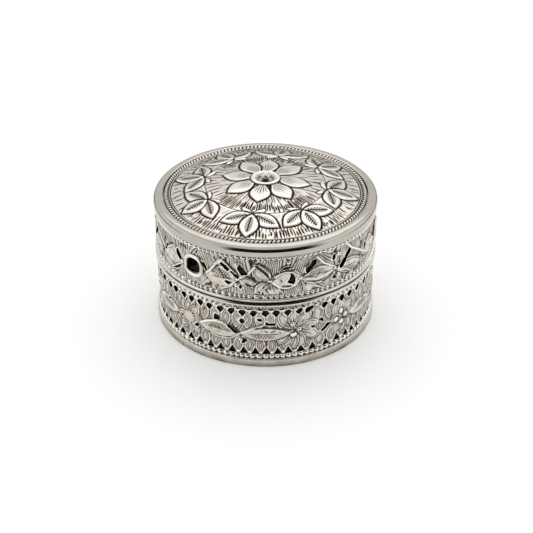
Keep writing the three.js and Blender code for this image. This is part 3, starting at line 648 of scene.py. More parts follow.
def sawn_holes(holes):
    """Each hole of a third of the wall, repeated round it: its outline about the middle of its corners, and
    that middle's angle and height."""
    middles = [at(*hole).mean(axis=0) for hole in holes]
    return [(rounded_hole(at(*hole) - middle), middle[0] / MM_PER_DEGREE + turn, middle[1])
            for turn in TURNS for hole, middle in zip(holes, middles)]


def row_of_holes(angles, height, shape, seed):
    """A row of small holes: the shape's corners about each angle, each corner moved a little at random."""
    rng = np.random.default_rng(seed)
    found = []
    for degrees in [turn + angle for turn in TURNS for angle in angles]:
        corners = shape + rng.normal(0, HAND_ERROR, (len(shape), 2))
        corners[:, 1] = np.maximum(corners[:, 1], BASE_BOTTOM + LEAST_MARGIN - height)
        found.append((rounded_hole(corners), degrees, height))
    return found


def pierce(piece, holes, material):
    """Cuts the holes through a piece and keeps the result as its mesh. The saw is a closed prism for each
    hole: its outline, set square to the axis at its angle and height, carried from inside the wall to out."""
    points = []
    groups = []
    start = 0
    for outline, degrees, height in holes:
        out = round_place(1, degrees, 0)
        across = round_place(1, degrees + 90, 0)
        flat = outline[:, :1] * across + np.array([0, 0, 1]) * (outline[:, 1:] + height)
        count = len(outline)
        points += [flat + out * (BORE_RADIUS - 2), flat + out * (WALL_RADIUS + 2)]
        ends = start + np.arange(count)
        groups += [between(start, count, start + count, count), ends[None, ::-1], ends[None, :] + count]
        start += 2 * count
    saw = new_piece("saw", np.concatenate(points), groups, material)
    cutter = piece.modifiers.new("pierced", "BOOLEAN")
    cutter.operation = "DIFFERENCE"
    cutter.solver = "MANIFOLD"
    cutter.object = saw
    bpy.context.view_layer.update()
    mesh = bpy.data.meshes.new_from_object(piece.evaluated_get(bpy.context.evaluated_depsgraph_get()))
    piece.modifiers.clear()
    old = piece.data
    piece.data = mesh
    mesh.name = piece.name
    bpy.data.meshes.remove(old)
    bpy.data.objects.remove(saw)
    shade(mesh, 48)


# Materials

def linear(code):
    """Scene-linear red, green, blue and alpha of an sRGB hex colour."""
    parts = [int(code[index:index + 2], 16) / 255 for index in (1, 3, 5)]
    return tuple(part / 12.92 if part <= 0.04045 else ((part + 0.055) / 1.055) ** 2.4 for part in parts) + (1.0,)


def node(tree, kind, inputs=(), **settings):
    """Adds a node, sets its properties, and gives its inputs values or links by name or number."""
    new = tree.nodes.new(kind)
    for key, value in settings.items():
        setattr(new, key, value)
    for key, value in dict(inputs).items():
        if isinstance(value, bpy.types.NodeSocket):
            tree.links.new(value, new.inputs[key])
        else:
            new.inputs[key].default_value = value
    return new


def new_silver(name):
    """A metal: the material, its tree of nodes, and the place of each point on the piece."""
    material = bpy.data.materials.new(name)
    material.use_nodes = True
    tree = material.node_tree
    tree.nodes["Principled BSDF"].inputs["Metallic"].default_value = 1.0
    return material, tree, node(tree, "ShaderNodeTexCoord").outputs["Object"]


def finish_silver(tree, colour, wear, roughness, grain, depth, strength):
    """Links a silver's colour, its roughness, which goes from one value to another with wear, and its grain
    as a relief so deep in mm."""
    rough = node(tree, "ShaderNodeMapRange", {"Value": wear, "To Min": roughness[0], "To Max": roughness[1]})
    relief = node(tree, "ShaderNodeBump", {"Height": grain, "Distance": depth * MM, "Strength": strength})
    inputs = tree.nodes["Principled BSDF"].inputs
    tree.links.new(colour, inputs["Base Color"])
    tree.links.new(rough.outputs["Result"], inputs["Roughness"])
    tree.links.new(relief.outputs["Normal"], inputs["Normal"])


# The darkest patina, also the painted shade in the saw cuts and the painted dark spots of the beads, where it
# begins, and its colour
BLACK_OXIDE_AND_PAINTED_SHADE = (0.95, "#0E0B09")


def chased_silver(name, stops, roughness, pit_depth):
    """Silver chased with punches and oxidised in its recesses: bright and smoother where it is rubbed, warm
    grey in the field, brown-black in the grooves. Its tone drifts in clouds of about 1.7 mm, and the punches
    leave pits of about 0.4 mm. The stops are patinas and the colours there; on some pieces the same values also
    carry painted shade, painted highlights and painted reflections."""
    material, tree, place = new_silver(name)
    patina_and_painted_light = node(tree, "ShaderNodeAttribute", attribute_name="patina_and_painted_light").outputs["Fac"]
    cloud = node(tree, "ShaderNodeTexNoise", {"Vector": place, "Scale": 600.0, "Detail": 4.0}).outputs["Fac"]
    uneven = node(tree, "ShaderNodeMath", {0: cloud, 1: 0.5}, operation="SUBTRACT").outputs[0]
    worn = node(tree, "ShaderNodeMath", {0: uneven, 1: 0.18, 2: patina_and_painted_light}, operation="MULTIPLY_ADD").outputs[0]
    tones = node(tree, "ShaderNodeValToRGB", {"Fac": worn})
    elements = tones.color_ramp.elements
    for _ in stops[1:]:
        elements.new(0.5)
    for element, (position, code) in zip(elements, stops + [BLACK_OXIDE_AND_PAINTED_SHADE]):
        element.position = position
        element.color = linear(code)
    pits = node(tree, "ShaderNodeTexNoise", {"Vector": place, "Scale": 2600.0, "Detail": 2.0}).outputs["Fac"]
    finish_silver(tree, tones.outputs["Color"], worn, roughness, pits, pit_depth, 0.5)
    return material


def polished_silver(name, colour, roughness, tarnish):
    """Silver rubbed bright: fine scratches that run round the box, 0.4 mm apart up it, and a faint uneven
    tarnish in clouds of about 8 mm."""
    material, tree, place = new_silver(name)
    cloud = node(tree, "ShaderNodeTexNoise", {"Vector": place, "Scale": 120.0, "Detail": 4.0}).outputs["Fac"]
    tint = node(tree, "ShaderNodeMapRange", {"Value": cloud, "From Min": 0.5, "From Max": 0.8, "To Max": 0.5})
    mixed = {"Factor": tint.outputs["Result"], "A": linear(colour), "B": linear(tarnish)}
    tones = node(tree, "ShaderNodeMix", mixed, data_type="RGBA")
    drawn = node(tree, "ShaderNodeMapping", {"Vector": place, "Scale": (60.0, 60.0, 2500.0)}).outputs["Vector"]
    lines = node(tree, "ShaderNodeTexNoise", {"Vector": drawn, "Scale": 1.0, "Detail": 3.0}).outputs["Fac"]
    finish_silver(tree, tones.outputs["Result"], cloud, (roughness * 0.7, roughness * 1.5), lines, 0.006, 0.35)
    return material


# Walls, dome, eye rings, buds and ball: chased, oxidised, then rubbed on what stands proud
# It also shows painted shade in the saw cuts and on the ball's lower part, and painted highlights on the eye rings
CHASED = chased_silver("chased_silver_oxide_and_painted_light", [(0.0, "#F8F6F2"), (0.3, "#CEC8BE"), (0.62, "#6E6355")],
                       (0.2, 0.6), 0.02)
# Beaded and milled wire, grains and the boss: rubbed bright on the beads and black between them
# The beaded strips also have a dark spot painted beside each bead, a painted reflection
BEADED = chased_silver("beaded_silver_wire", [(0.0, "#FBF9F5"), (0.35, "#D2CCC2"), (0.7, "#5E5449")],
                       (0.08, 0.6), 0.006)
# Foot and lips: plain bands, turned smooth and handled, with painted shade at the parting and towards the table, and
# smudges of dirt on the foot
BANDED = chased_silver("plain_silver_tarnish_and_painted_shade", [(0.0, "#F1EEE8"), (0.35, "#C3BDB2"), (0.7, "#6A6054")],
                       (0.1, 0.5), 0.004)
# Rolled rim and border wire: polished by hand and worn
POLISHED = polished_silver("worn_polished_silver", "#BDB8AF", 0.12, "#9C968A")
# Inside: scraped and left dull
SATIN = polished_silver("dull_inside_silver", "#A8A297", 0.42, "#6F685C")


# Walls

# How far the pattern's ground lies inside the wall's radius
GROUND_DEPTH = 0.1


def sampled(grid, column, row):
    """Values of a grid between its points, by straight-line interpolation; columns run all the way round."""
    row = np.clip(row, 0, grid.shape[0] - 1.001)
    left = np.floor(column).astype(int)
    low = np.floor(row).astype(int)
    a = column - left
    b = row - low
    left %= grid.shape[1]
    right = (left + 1) % grid.shape[1]
    lower = grid[low, left] * (1 - a) + grid[low, right] * a
    upper = grid[low + 1, left] * (1 - a) + grid[low + 1, right] * a
    return lower * (1 - b) + upper * b


def wall_patina_and_painted_shade(piece, patina_and_painted_light, bottom, top):
    """Gives the cut wall its patina and painted shade, one value for each face corner so that a sawn edge stays
    crisp: the pattern's patina outside; painted shade, near black, in the saw cuts, whose faces stand square to
    the axis, a little lighter at their outer edge; and dark inside."""
    mesh = piece.data
    place = vertices_of(piece)
    degrees = np.degrees(np.arctan2(place[:, 0], -place[:, 1])) % 360
    radius = np.hypot(place[:, 0], place[:, 1])
    row = (place[:, 2] - bottom) / (top - bottom) * (patina_and_painted_light.shape[0] - 1)
    outer = sampled(patina_and_painted_light, degrees / 360 * patina_and_painted_light.shape[1], row)
    inner = smooth(0.3, 0.8, WALL_RADIUS - radius)
    corner = np.empty(len(mesh.loops), np.int32)
    mesh.loops.foreach_get("vertex_index", corner)
    sizes = np.empty(len(mesh.polygons), np.int32)
    mesh.polygons.foreach_get("loop_total", sizes)
    normals = np.empty(len(mesh.polygons) * 3, np.float32)
    mesh.polygons.foreach_get("normal", normals)
    normals = np.repeat(normals.reshape(-1, 3), sizes, axis=0)
    facing = np.abs((normals[:, :2] * place[corner, :2]).sum(axis=1)) / radius[corner]
    shown = outer * (1 - inner) + INSIDE_PATINA * inner
    # Painted shade: the saw cuts' faces are made near black, darkest towards the inside
    set_attribute(piece, "patina_and_painted_light", np.where(facing < 0.15, 1 + 0.2 * inner[corner], shown[corner]), "CORNER")


def make_wall(name, node_name, body, draw, holes):
    """A chased wall round the box: its outside follows the pattern's height, its inside is plain. It is
    pierced by the holes, then given its patina, whose columns run round from the front and rows run up, and the
    painted shade of its saw cuts."""
    _, _, bottom, top = extent(node_name)
    degrees = around(WALL_COLUMNS)
    heights = np.linspace(bottom, top, int(round((top - bottom) / ROW_STEP)) + 1)
    across, up = np.meshgrid(degrees * MM_PER_DEGREE, heights)
    space = np.moveaxis(round_place(WALL_RADIUS, degrees, up), -1, 0)
    sheet = Sheet(across, up, space, REPEAT_DEGREES * MM_PER_DEGREE)
    draw(sheet)
    relief = sheet.height * smooth(0, 0.45, np.minimum(up - bottom, top - up))
    inside = [round_place(BORE_RADIUS, degrees, height) for height in np.linspace(top, bottom, 5)]
    piece = skin(name, [*round_place(WALL_RADIUS - GROUND_DEPTH + relief, degrees, up), *inside], CHASED)
    pierce(piece, holes, CHASED)
    wall_patina_and_painted_shade(piece, sheet.patina_and_painted_light(), bottom, top)
    mount_on(piece, body, node_name)


small_holes = [hole for row in HOLE_ROWS for hole in row_of_holes(*row)]
make_wall("base_gallery", "base_wall", "base", draw_base, small_holes + sawn_holes(BASE_HOLES))
make_wall("lid_gallery", "lid_wall", "lid", draw_lid, sawn_holes(LID_HOLES + [LID_EYE_HOLE]))


# Grains, buds and eye rings soldered on the walls

# How far soldered pieces reach into the wall
SOLDER_DEPTH = 0.25


def on_wall(points, degrees, height):
    """Points made flat, x across, y up and z out, wrapped on the wall's outside at an angle and height."""
    turn = degrees + points[..., 0] / MM_PER_DEGREE
    return round_place(WALL_RADIUS + points[..., 2], turn, height + points[..., 1])


def height_of_foot(piece, low, high, above):
    """How near each vertex is to the foot of a soldered piece: 1 in the wall, 0 a little way out of it."""
    return smooth(low, high, WALL_RADIUS + above - np.hypot(*vertices_of(piece)[:, :2].T))


def button(name, node_name, body, degrees, height, width, tall, proud, material=BEADED, columns=28, worn=0.0):
    """A drop of silver: rings of an ellipse that follow a quarter circle up from a sunken foot. Its patina is
    dark at the foot and that of its worn top above."""
    turn = np.radians(around(columns))
    climb = np.radians([0, 0, 12, 26, 40, 54, 67, 78])[:, None]
    lift = proud * np.sin(climb)
    lift[0] = -SOLDER_DEPTH
    reach = 0.5 * np.cos(climb)
    flat = np.broadcast_arrays(width * reach * np.cos(turn), tall * reach * np.sin(turn), lift)
    rows = [np.array([[0, 0, -SOLDER_DEPTH]]), *np.stack(flat, axis=-1), np.array([[0, 0, proud]])]
    piece = skin(name, [on_wall(row, degrees, height) for row in rows], material, closed=False)
    mount_on(piece, body, node_name, patina_and_painted_light=worn + (0.85 - worn) * height_of_foot(piece, -0.2, 0.35, 0.2))


def eye_ring(name, node_name, body, degrees, height, width=6.2, tall=6.3, band=1.3, proud=0.46, count=96, power=2.5):
    """A soldered oval ring, dark where it meets the wall and painted lighter towards its top and bottom as
    highlights: a low round section carried along a superellipse, the cosine and sine of the turn, each to 2 over
    a power, times half the width and height."""
    turn = np.radians(around(count))
    across, up = (np.sign(wave) * np.abs(wave) ** (2 / power) for wave in (np.cos(turn), np.sin(turn)))
    rows = []
    for angle in np.radians(np.arange(0, 360, 30)):
        out = band * math.cos(angle)
        lift = 0 * up + 0.1 + proud * math.sin(angle)
        rows.append(np.stack([across * (width + out) / 2, up * (tall + out) / 2, lift], axis=1))
    piece = skin(name, [on_wall(row, degrees, height) for row in rows], CHASED)
    above = np.abs(vertices_of(piece)[:, 2] - height)
    # Painted highlights: the ring is lighter far above and below its middle
    patina_and_painted_light = 0.26 - 0.22 * smooth(1, 3.2, above) + 0.6 * height_of_foot(piece, -0.15, 0.3, 0.25)
    mount_on(piece, body, node_name, patina_and_painted_light=patina_and_painted_light)


for make, name, node_name, body, places, form in (
        (button, "base_grain", "base_granule", "base", BASE_GRAINS, (1.35, 1.35, 0.62)),
        (button, "lid_grain", "lid_granule", "lid", LID_GRAINS, (1.45, 1.4, 0.62)),
        (button, "flower_bud", "base_flower_bud", "base", [BASE_BUD], (4.6, 4.3, 0.6, CHASED, 48, 0.26)),
        (eye_ring, "eye_ring", "lid_eye_ring", "lid", [LID_EYE], ())):
    repeated = [(turn + degrees, height) for turn in TURNS for degrees, height in places]
    for index, (degrees, height) in enumerate(repeated, 1):
        make(f"{name}_{index}", f"{node_name}_{index}", body, degrees, height, *form)


# Beaded strips

def beaded(name, node_name, body, beads, shift, size, dent_and_dark_spot_at, high=1.0, wander=0.2, dark_spot_strength=1.0, gap=0.6):
    """A strip of beads: the outside stands proud by an ellipsoid in each pitch, whose phase wanders a little
    as in hand work. A round punch has left a shallow pit beside each, and a dark spot is painted there: a
    painted reflection of dark surroundings. The beads fill the strip up to a share of its height, with a plain
    narrow band above."""
    _, outer, bottom, top = extent(node_name)
    degrees = around(beads * BEAD_COLUMNS)
    turn, up = np.meshgrid(degrees, np.linspace(bottom, top, BEAD_ROWS))
    x, y, _ = np.moveaxis(round_place(WALL_RADIUS, turn, 0), -1, 0)
    phase = turn / 360 * beads + shift + wander * drift(x, y, 0 * turn, 9, beads)
    along = ((phase + 0.5) % 1 - 0.5) * 2 / size
    share = (up - bottom) / (top - bottom)
    across = 2 * share / high - 1
    dome = np.sqrt(np.clip(1 - along ** 2 - across ** 2, 0, 1))
    plain = smooth(high - 0.04, high + 0.06, share) * (high < 1)
    dent_and_dark_spot = bump(np.hypot(along - dent_and_dark_spot_at[0], across - dent_and_dark_spot_at[1]), 0.36)
    neck = WALL_RADIUS - SOLDER_DEPTH
    radius = neck + (outer - neck) * np.maximum(dome * (1 - 0.3 * dent_and_dark_spot), 0.6 * plain)
    inside = [round_place(BORE_RADIUS, degrees, height) for height in (top, bottom)]
    piece = skin(name, [*round_place(radius, turn, up), *inside], BEADED)
    # The dark spot at each pit is a painted reflection; the dark between the beads is patina
    dark = np.maximum(gap * (1 - smooth(0, 0.3, dome)), dark_spot_strength * dent_and_dark_spot) * (1 - plain) + 0.25 * plain - 0.05
    mount_on(piece, body, node_name, patina_and_painted_light=np.append(dark, np.full(2 * len(degrees), INSIDE_PATINA)))


beaded("base_lower_beads", "base_lower_beading", "base", 120, 0.0, 0.94, (0.75, 0.5), dark_spot_strength=0.55)
beaded("base_upper_beads", "base_upper_beading", "base", 120, 0.5, 0.8, (0.1, 0.3), 0.62, dark_spot_strength=0.5, gap=0.7)
beaded("lid_lower_beads", "lid_lower_beading", "lid", 120, 0.2, 0.86, (0.5, 0.1), wander=0.35)
beaded("lid_upper_beads", "lid_upper_beading", "lid", 138, 0.4, 0.95, (0.5, 0.7), gap=0.8)


# Plain rings and the floor

def turned(name, node_name, body, outline, material=BANDED, dent=0.012, seed=1,
           sharp_degrees=None, dark=None):
    """A ring turned from a closed outline of distance from the axis and height, with the slow dents of a hand
    raised piece: the distance changes by a few hundredths of a millimetre round the box. Its patina and painted
    shade, where it has them, are dark's answer for x, y and height, and a faint unevenness that is longer round
    than up."""
    degrees = around(RING_COLUMNS)
    x, y, _ = round_place(20, degrees, 0).T
    rows = [round_place(radius + dent * drift(x, y, height, 16, seed), degrees, height)
            for radius, height in outline]
    piece = skin(name, rows, material, sharp_degrees=sharp_degrees)
    x, y, height = vertices_of(piece).T
    mount_on(piece, body, node_name, dark and dark(x, y, height) + 0.06 * drift(x, y, 4 * height, 6, 15))


# Sizes of the rings that the CAD parts don't give: how far edges lean, are broken or stand back
TREAD_WIDTH = 1.6
FOOT_OUTER = FOOT_RADIUS - 0.05
TREAD_INNER = FOOT_RADIUS - TREAD_WIDTH
TREAD_HEIGHT = 0.03
FLOOR_LEDGE = FLOOR_BOTTOM - 0.6
LIP_LEAN = 0.26
LIP_EDGE = 0.12
ROLL = 1.6
RIM_SLOPE = 12
RIM_LEDGE = PLATE_SEAT - 0.7
SHELF_INNER = PLATE_RADIUS + 0.2
FLOOR_EDGE = FLOOR_RADIUS - 0.15


def foot_painted_shade_and_smudges(x, y, height):
    """The foot is painted darker towards the table, painted shade where the table shades it, and darker in smudges
    of dirt.
    """
    smudge = smooth(1, 1.5, drift(x, y, 3 * height, 4, 19))
    return 0.26 + 0.3 * (1 - smooth(0.3, 1.9, height)) + 0.35 * (1 - smooth(0.05, 0.35, height)) + 0.2 * smudge


def base_lip_outline():
    """Section of the base's lip: its face leans in by the square of its share of the way up."""
    heights = np.linspace(BASE_LIP_BOTTOM + 0.15, PARTING - LIP_EDGE, 9)
    face = zip(LIP_RADIUS - LIP_LEAN * np.linspace(0, 1, 9) ** 2, heights)
    return [(BORE_RADIUS, BASE_LIP_BOTTOM), (LIP_RADIUS - 0.1, BASE_LIP_BOTTOM), *face,
            (LIP_RADIUS - LIP_LEAN - LIP_EDGE, PARTING), (BORE_RADIUS, PARTING)]


def rim_outline():
    """Section of the lid's rim: an upright band, a quarter round that stops short of level, a slope up to the
    crest, and a shelf inside that holds the domed plate."""
    turn = np.radians(np.arange(0, 91 - RIM_SLOPE, 4))
    base = RIM_TOP - 0.11 - ROLL * math.cos(math.radians(RIM_SLOPE))
    roll = list(zip(RIM_RADIUS - ROLL + ROLL * np.cos(turn), base + ROLL * np.sin(turn)))
    crest = SHELF_INNER + 0.45
    edge_radius, edge_height = roll[-1]
    slope = [(crest + (edge_radius - crest) * share, RIM_TOP - (RIM_TOP - edge_height) * share ** 2)
             for share in (0.8, 0.6, 0.4, 0.2, 0)]
    return [(BORE_RADIUS, RIM_BOTTOM), (RIM_RADIUS - 0.15, RIM_BOTTOM), (RIM_RADIUS, RIM_BOTTOM + 0.15),
            *roll, *slope, (SHELF_INNER + 0.12, RIM_TOP - 0.12), (SHELF_INNER, RIM_TOP - 0.4),
            (SHELF_INNER, PLATE_SEAT), (RIM_LEDGE_INNER, PLATE_SEAT), (RIM_LEDGE_INNER, RIM_LEDGE),
            (BORE_RADIUS, RIM_LEDGE)]


turned("foot_band", "foot_ring", "base", arced([
    (TREAD_INNER, TREAD_HEIGHT), (FOOT_OUTER, TREAD_HEIGHT), (FOOT_OUTER, FOOT_TOP), (BORE_RADIUS, FOOT_TOP),
    (BORE_RADIUS, FLOOR_BOTTOM), (FOOT_INNER, FLOOR_BOTTOM), (FOOT_INNER, FLOOR_LEDGE),
    (TREAD_INNER, FLOOR_LEDGE)], [0.15, 0.35, 0.3, 0.1, 0.1, 0.1, 0.1, 0.1]), dent=0.02, seed=3, dark=foot_painted_shade_and_smudges)
# The base lip's top edge is painted dark: painted shade of the parting gap under the lid
turned("base_lip", "base_lip_ring", "base", base_lip_outline(), seed=5, sharp_degrees=40,
       dark=lambda x, y, height: 0.2 + 0.9 * smooth(PARTING - 0.26, PARTING - 0.12, height))
turned("collar", "locating_collar", "base", arced([
    (COLLAR_INNER, COLLAR_BOTTOM), (COLLAR_OUTER, COLLAR_BOTTOM), (COLLAR_OUTER, COLLAR_TOP),
    (COLLAR_INNER, COLLAR_TOP)], 0.15), SATIN, 0.02, 7)
# The lid lip's bottom edge is painted dark: painted shade of the parting gap
turned("lid_lip", "lid_lip_ring", "lid", arced([
    (BORE_RADIUS, LID_BOTTOM), (LIP_RADIUS, LID_BOTTOM), (LIP_RADIUS, LID_LIP_TOP), (BORE_RADIUS, LID_LIP_TOP)],
    [0.05, LIP_EDGE, 0.45, 0.05], 7), seed=9,
    dark=lambda x, y, height: 0.14 + 0.95 * (1 - smooth(LID_BOTTOM + 0.06, LID_BOTTOM + 0.2, height)))
turned("rolled_rim", "lid_rim", "lid", rim_outline(), POLISHED, seed=13, sharp_degrees=40)
base_plate = disc("base_plate", [
    (0, FLOOR_BOTTOM), (FLOOR_EDGE, FLOOR_BOTTOM), (FLOOR_RADIUS, FLOOR_BOTTOM + 0.15),
    (FLOOR_RADIUS, FLOOR_TOP - 0.15), (FLOOR_EDGE, FLOOR_TOP), (FLOOR_RADIUS * 0.5, FLOOR_TOP),
    (0, FLOOR_TOP)], SATIN, RING_COLUMNS // 2)
mount_on(base_plate, "base", "base_floor")


# Domed plate and what is set on it

# The dome ends inside the border's wire, steps up from the plate and rises; its middle is dished
DOME_RADIUS = BORDER_INNER - 0.2
DOME_STEP = 0.55
DOME_RISE = 4.35
DISH_RADIUS = ROSETTE_OUTER + 0.2
DISH_LEVEL = DISH_FLOOR - 0.02
PLATE_THICKNESS = PLATE_TOP - PLATE_SEAT
# Angle, here from +X, and distance from the axis of each petal's tip and of each sprig of the wreath
PETALS = [(212.3, 13.3), (259.3, 12.9), (303.8, 13.1), (349.5, 13.5), (41.9, 14.6), (84.2, 14.2),
          (119.5, 14.4), (164.2, 13.2)]
SPRIGS = [(258.4, 19.6), (303.4, 20), (348.2, 19.6), (33, 20), (77, 19.8), (122, 20), (167, 19.7), (210, 20.3)]
# Rows of strokes: turn of the row, pitch in degrees, least and greatest distance, width, seed, strength
STROKES = [(0, 2.25, 13.4, 19, 0.4, 61, 1.2), (1.1, 4, 8, 15, 0.32, 62, 0.7), (0, 1.8, 25.8, 29.4, 0.42, 63, 1.2),
           (0.8, 2.4, 22.5, 27, 0.32, 64, 0.7)]
TICK_DEGREES = 15


def dome_height(radius):
    """Height of the dome: its step above the plate and a paraboloid that meets it at the edge."""
    return PLATE_TOP + DOME_STEP + DOME_RISE * (1 - (radius / DOME_RADIUS) ** 2)


def polar(degrees, radius):
    """A place on the dome seen from above, from an angle that starts at +X and a distance from the axis."""
    return radius * math.cos(math.radians(degrees)), radius * math.sin(math.radians(degrees))


def strokes(sheet, radius, degrees, pitch, start, stop, width, seed, strength):
    """Separate cuts that point at the centre, one in each pitch: each is a lens between two distances from
    the centre, and is moved, lengthened and weakened at random. At left and right only every third is cut."""
    rng = np.random.default_rng(seed)
    count = int(round(360 / pitch))
    index = np.round(degrees / pitch).astype(int) % count
    shift, begin, finish, force = (rng.uniform(low, high, count)[index]
                                   for low, high in ((-0.22, 0.22), (0, 1), (0, 1), (0.45, 1)))
    first = start + 0.45 * (stop - start) * begin ** 2
    last = stop - 0.35 * (stop - start) * finish ** 2
    share = np.clip((radius - first) / (last - first), 0, 1)
    aside = (degrees / pitch - np.round(degrees / pitch) - shift) * math.radians(pitch) * radius
    thick = width / 2 * np.sqrt(np.sin(np.pi * share)) + 1e-3
    sideways = 1 - smooth(0.45, 0.75, np.abs(np.sin(np.radians(index * pitch))))
    force = force * strength * (radius > first) * (radius < last) * (1 - sideways * (index % 3 > 0))
    sheet.cut(np.clip(1.4 * bump(aside, thick) * force, 0, 1), 0.14, 1.2)


def draw_dome(sheet):
    """The top: wandering fine lines that point at the centre, rows of black strokes inside and outside the
    wreath, a thin ring, a sprig of three veined leaves at each node, and the eight petals of the rosette."""
    x, y = sheet.x, sheet.y
    radius = np.hypot(x, y)
    degrees = np.degrees(np.arctan2(y, x)) % 360
    for seed, pitch in ((54, 2.7), (57, 4)):
        patch = smooth(-0.1, 0.7, drift(x, y, 0 * x, 3.2, seed))
        phase = degrees / pitch + 0.9 * drift(x, y, 0 * x, 8, seed + 1) + radius / 6
        sheet.cut(hatch(phase, 2.5) * patch, 0.035, 0.26)
    for turn, *row in STROKES:
        strokes(sheet, radius, degrees + turn, *row)
    sheet.cut(bump(radius - 18.8, 0.2) * 0.8, 0.06, 0.8)
    sheet.raise_line(bump(radius - 19.2, 0.2) * 0.8, 0.07)
    for angle, reach in SPRIGS:
        for turn in (-12, 12):
            sheet.leaf(polar(angle, reach), polar(angle + turn, reach - 2.4), 1.6, groove=0.2)
        for turn, tip, width in ((-20.8, 25, 5.2), (20.8, 25, 5.2), (0, 29, 5.5)):
            sheet.leaf(polar(angle, reach), polar(angle + turn, tip), width, 0.24, fullness=0.95, outline=1.25,
                       groove=0.26, veined=True)
    for angle, reach in PETALS:
        sheet.leaf(polar(angle, 3), polar(angle, reach + 0.5), 6.1, 0.24, fullness=1, outline=1.25, groove=0.3,
                   fan=7, middle=1.2, rubbed=0.06)


def make_dome():
    """The domed plate: rings of points from its centre over the dished middle, the petals and the wreath
    to the edge, then back under it. The number of points in a ring grows outwards."""
    few, degrees = around(DOME_COLUMNS // 8), around(DOME_COLUMNS)
    centre = np.zeros(1)
    dish_edge = DISH_RADIUS - 0.05
    turn, radius = np.meshgrid(few, np.linspace(0.4, dish_edge, 14))
    ticks = hatch(turn / TICK_DEGREES, 1.5) * smooth(1.4, 2.2, radius)
    rows = [round_place(0, centre, DISH_LEVEL), *round_place(radius, turn, DISH_LEVEL - 0.08 * ticks)]
    patinas = [[0.5], *(0.4 + 0.4 * ticks)]
    for radii, columns in ((np.linspace(DISH_RADIUS + 0.05, 14, 36), DOME_COLUMNS // 2),
                           (np.linspace(14.24, DOME_RADIUS, 64), DOME_COLUMNS)):
        turn, radius = np.meshgrid(around(columns), radii)
        sheet = Sheet(*round_place(radius, turn, 0).T[:2].swapaxes(1, 2))
        draw_dome(sheet)
        height = dome_height(radius) - 0.05 + sheet.height * (1 - smooth(DOME_RADIUS - 0.5, DOME_RADIUS, radius))
        rows += [*round_place(radius, turn, height)]
        patinas += [*sheet.patina_and_painted_light()]
    edge = [(DOME_RADIUS + 0.02, PLATE_TOP + 0.2), (DOME_RADIUS + 0.1, PLATE_TOP), (PLATE_RADIUS, PLATE_TOP),
            (PLATE_RADIUS, PLATE_SEAT), (DOME_RADIUS - PLATE_THICKNESS, PLATE_SEAT)]
    under = [(radius, dome_height(radius) - PLATE_THICKNESS - DOME_STEP * 0.5)
             for radius in np.linspace(0.9 * DOME_RADIUS, 2, 10)]
    rows += [round_place(radius, degrees, height) for radius, height in edge]
    rows += [round_place(radius, few, height) for radius, height in under]
    rows.append(round_place(0, centre, DISH_FLOOR - PLATE_THICKNESS - 0.2))
    patinas += [np.full(len(degrees) * len(edge), 0.6), np.full(len(few) * len(under) + 1, 0.45)]
    piece = skin("domed_plate", rows, CHASED, closed=False, sharp_degrees=50)
    mount_on(piece, "lid", "lid_dome", np.concatenate(patinas))


def milled_border(beads=153):
    """A wire of slanting beads laid round the dome: an ellipsoid in each pitch, leaning with its height."""
    turn, angle = np.meshgrid(around(beads * 8), np.radians(np.arange(0, 181, 15)))
    phase = turn / 360 * beads + 0.25 * np.cos(angle)
    swell = np.sqrt(np.clip(1 - (((phase + 0.5) % 1 - 0.5) * 2) ** 2, 0, 1))
    size = 0.62 + 0.38 * swell
    radius = (WIRE_INNER + WIRE_OUTER) / 2 + (WIRE_OUTER - WIRE_INNER) / 2 * np.cos(angle) * size
    height = PLATE_TOP + (WIRE_TOP - PLATE_TOP) * np.sin(angle) * size
    piece = skin("milled_wire", [*round_place(radius, turn, height)], BEADED)
    mount_on(piece, "lid", "border_milled_wire", patina_and_painted_light=0.2 + 0.9 * (1 - smooth(0.55, 0.98, swell)))


def border_wire():
    """A thin half-round wire just inside the milled one."""
    angle = np.radians(np.linspace(0, 180, 9))
    radius = (BORDER_INNER + BORDER_OUTER) / 2 + (BORDER_OUTER - BORDER_INNER) / 2 * np.cos(angle)
    outline = zip(radius, PLATE_TOP + (BORDER_TOP - PLATE_TOP) * np.sin(angle))
    turned("border_wire", "border_ring", "lid", outline, POLISHED, 0.01, 17)


def rosette_boss():
    """The ring round the middle of the rosette: a wide low band that slopes up from the dish to a round crest,
    with short radial ticks on its inner slope."""
    degrees = around(RING_COLUMNS)
    rows = []
    patinas = []
    rise = ROSETTE_TOP - DISH_FLOOR
    for radius, lift in ((2.3, 0), (2.45, 0.2), (2.7, 0.4), (3, 0.6), (3.25, 0.8), (3.45, 0.94), (3.7, 1),
                         (4.1, 1), (4.4, 0.9), (4.6, 0.6), (4.7, 0)):
        tick = hatch(degrees / TICK_DEGREES, 1.8) * (0.1 if 2.6 < radius < 3.7 else 0)
        rows.append(round_place(min(radius, ROSETTE_OUTER), degrees, DISH_FLOOR + rise * lift - tick))
        patinas.append(0.08 + 3 * tick + 0.5 * (1 - smooth(2.4, 3.2, radius)) + 0.6 * (radius > 4.5))
    mount_on(skin("rosette_boss", rows, BEADED), "lid", "rosette_ring", np.concatenate(patinas))


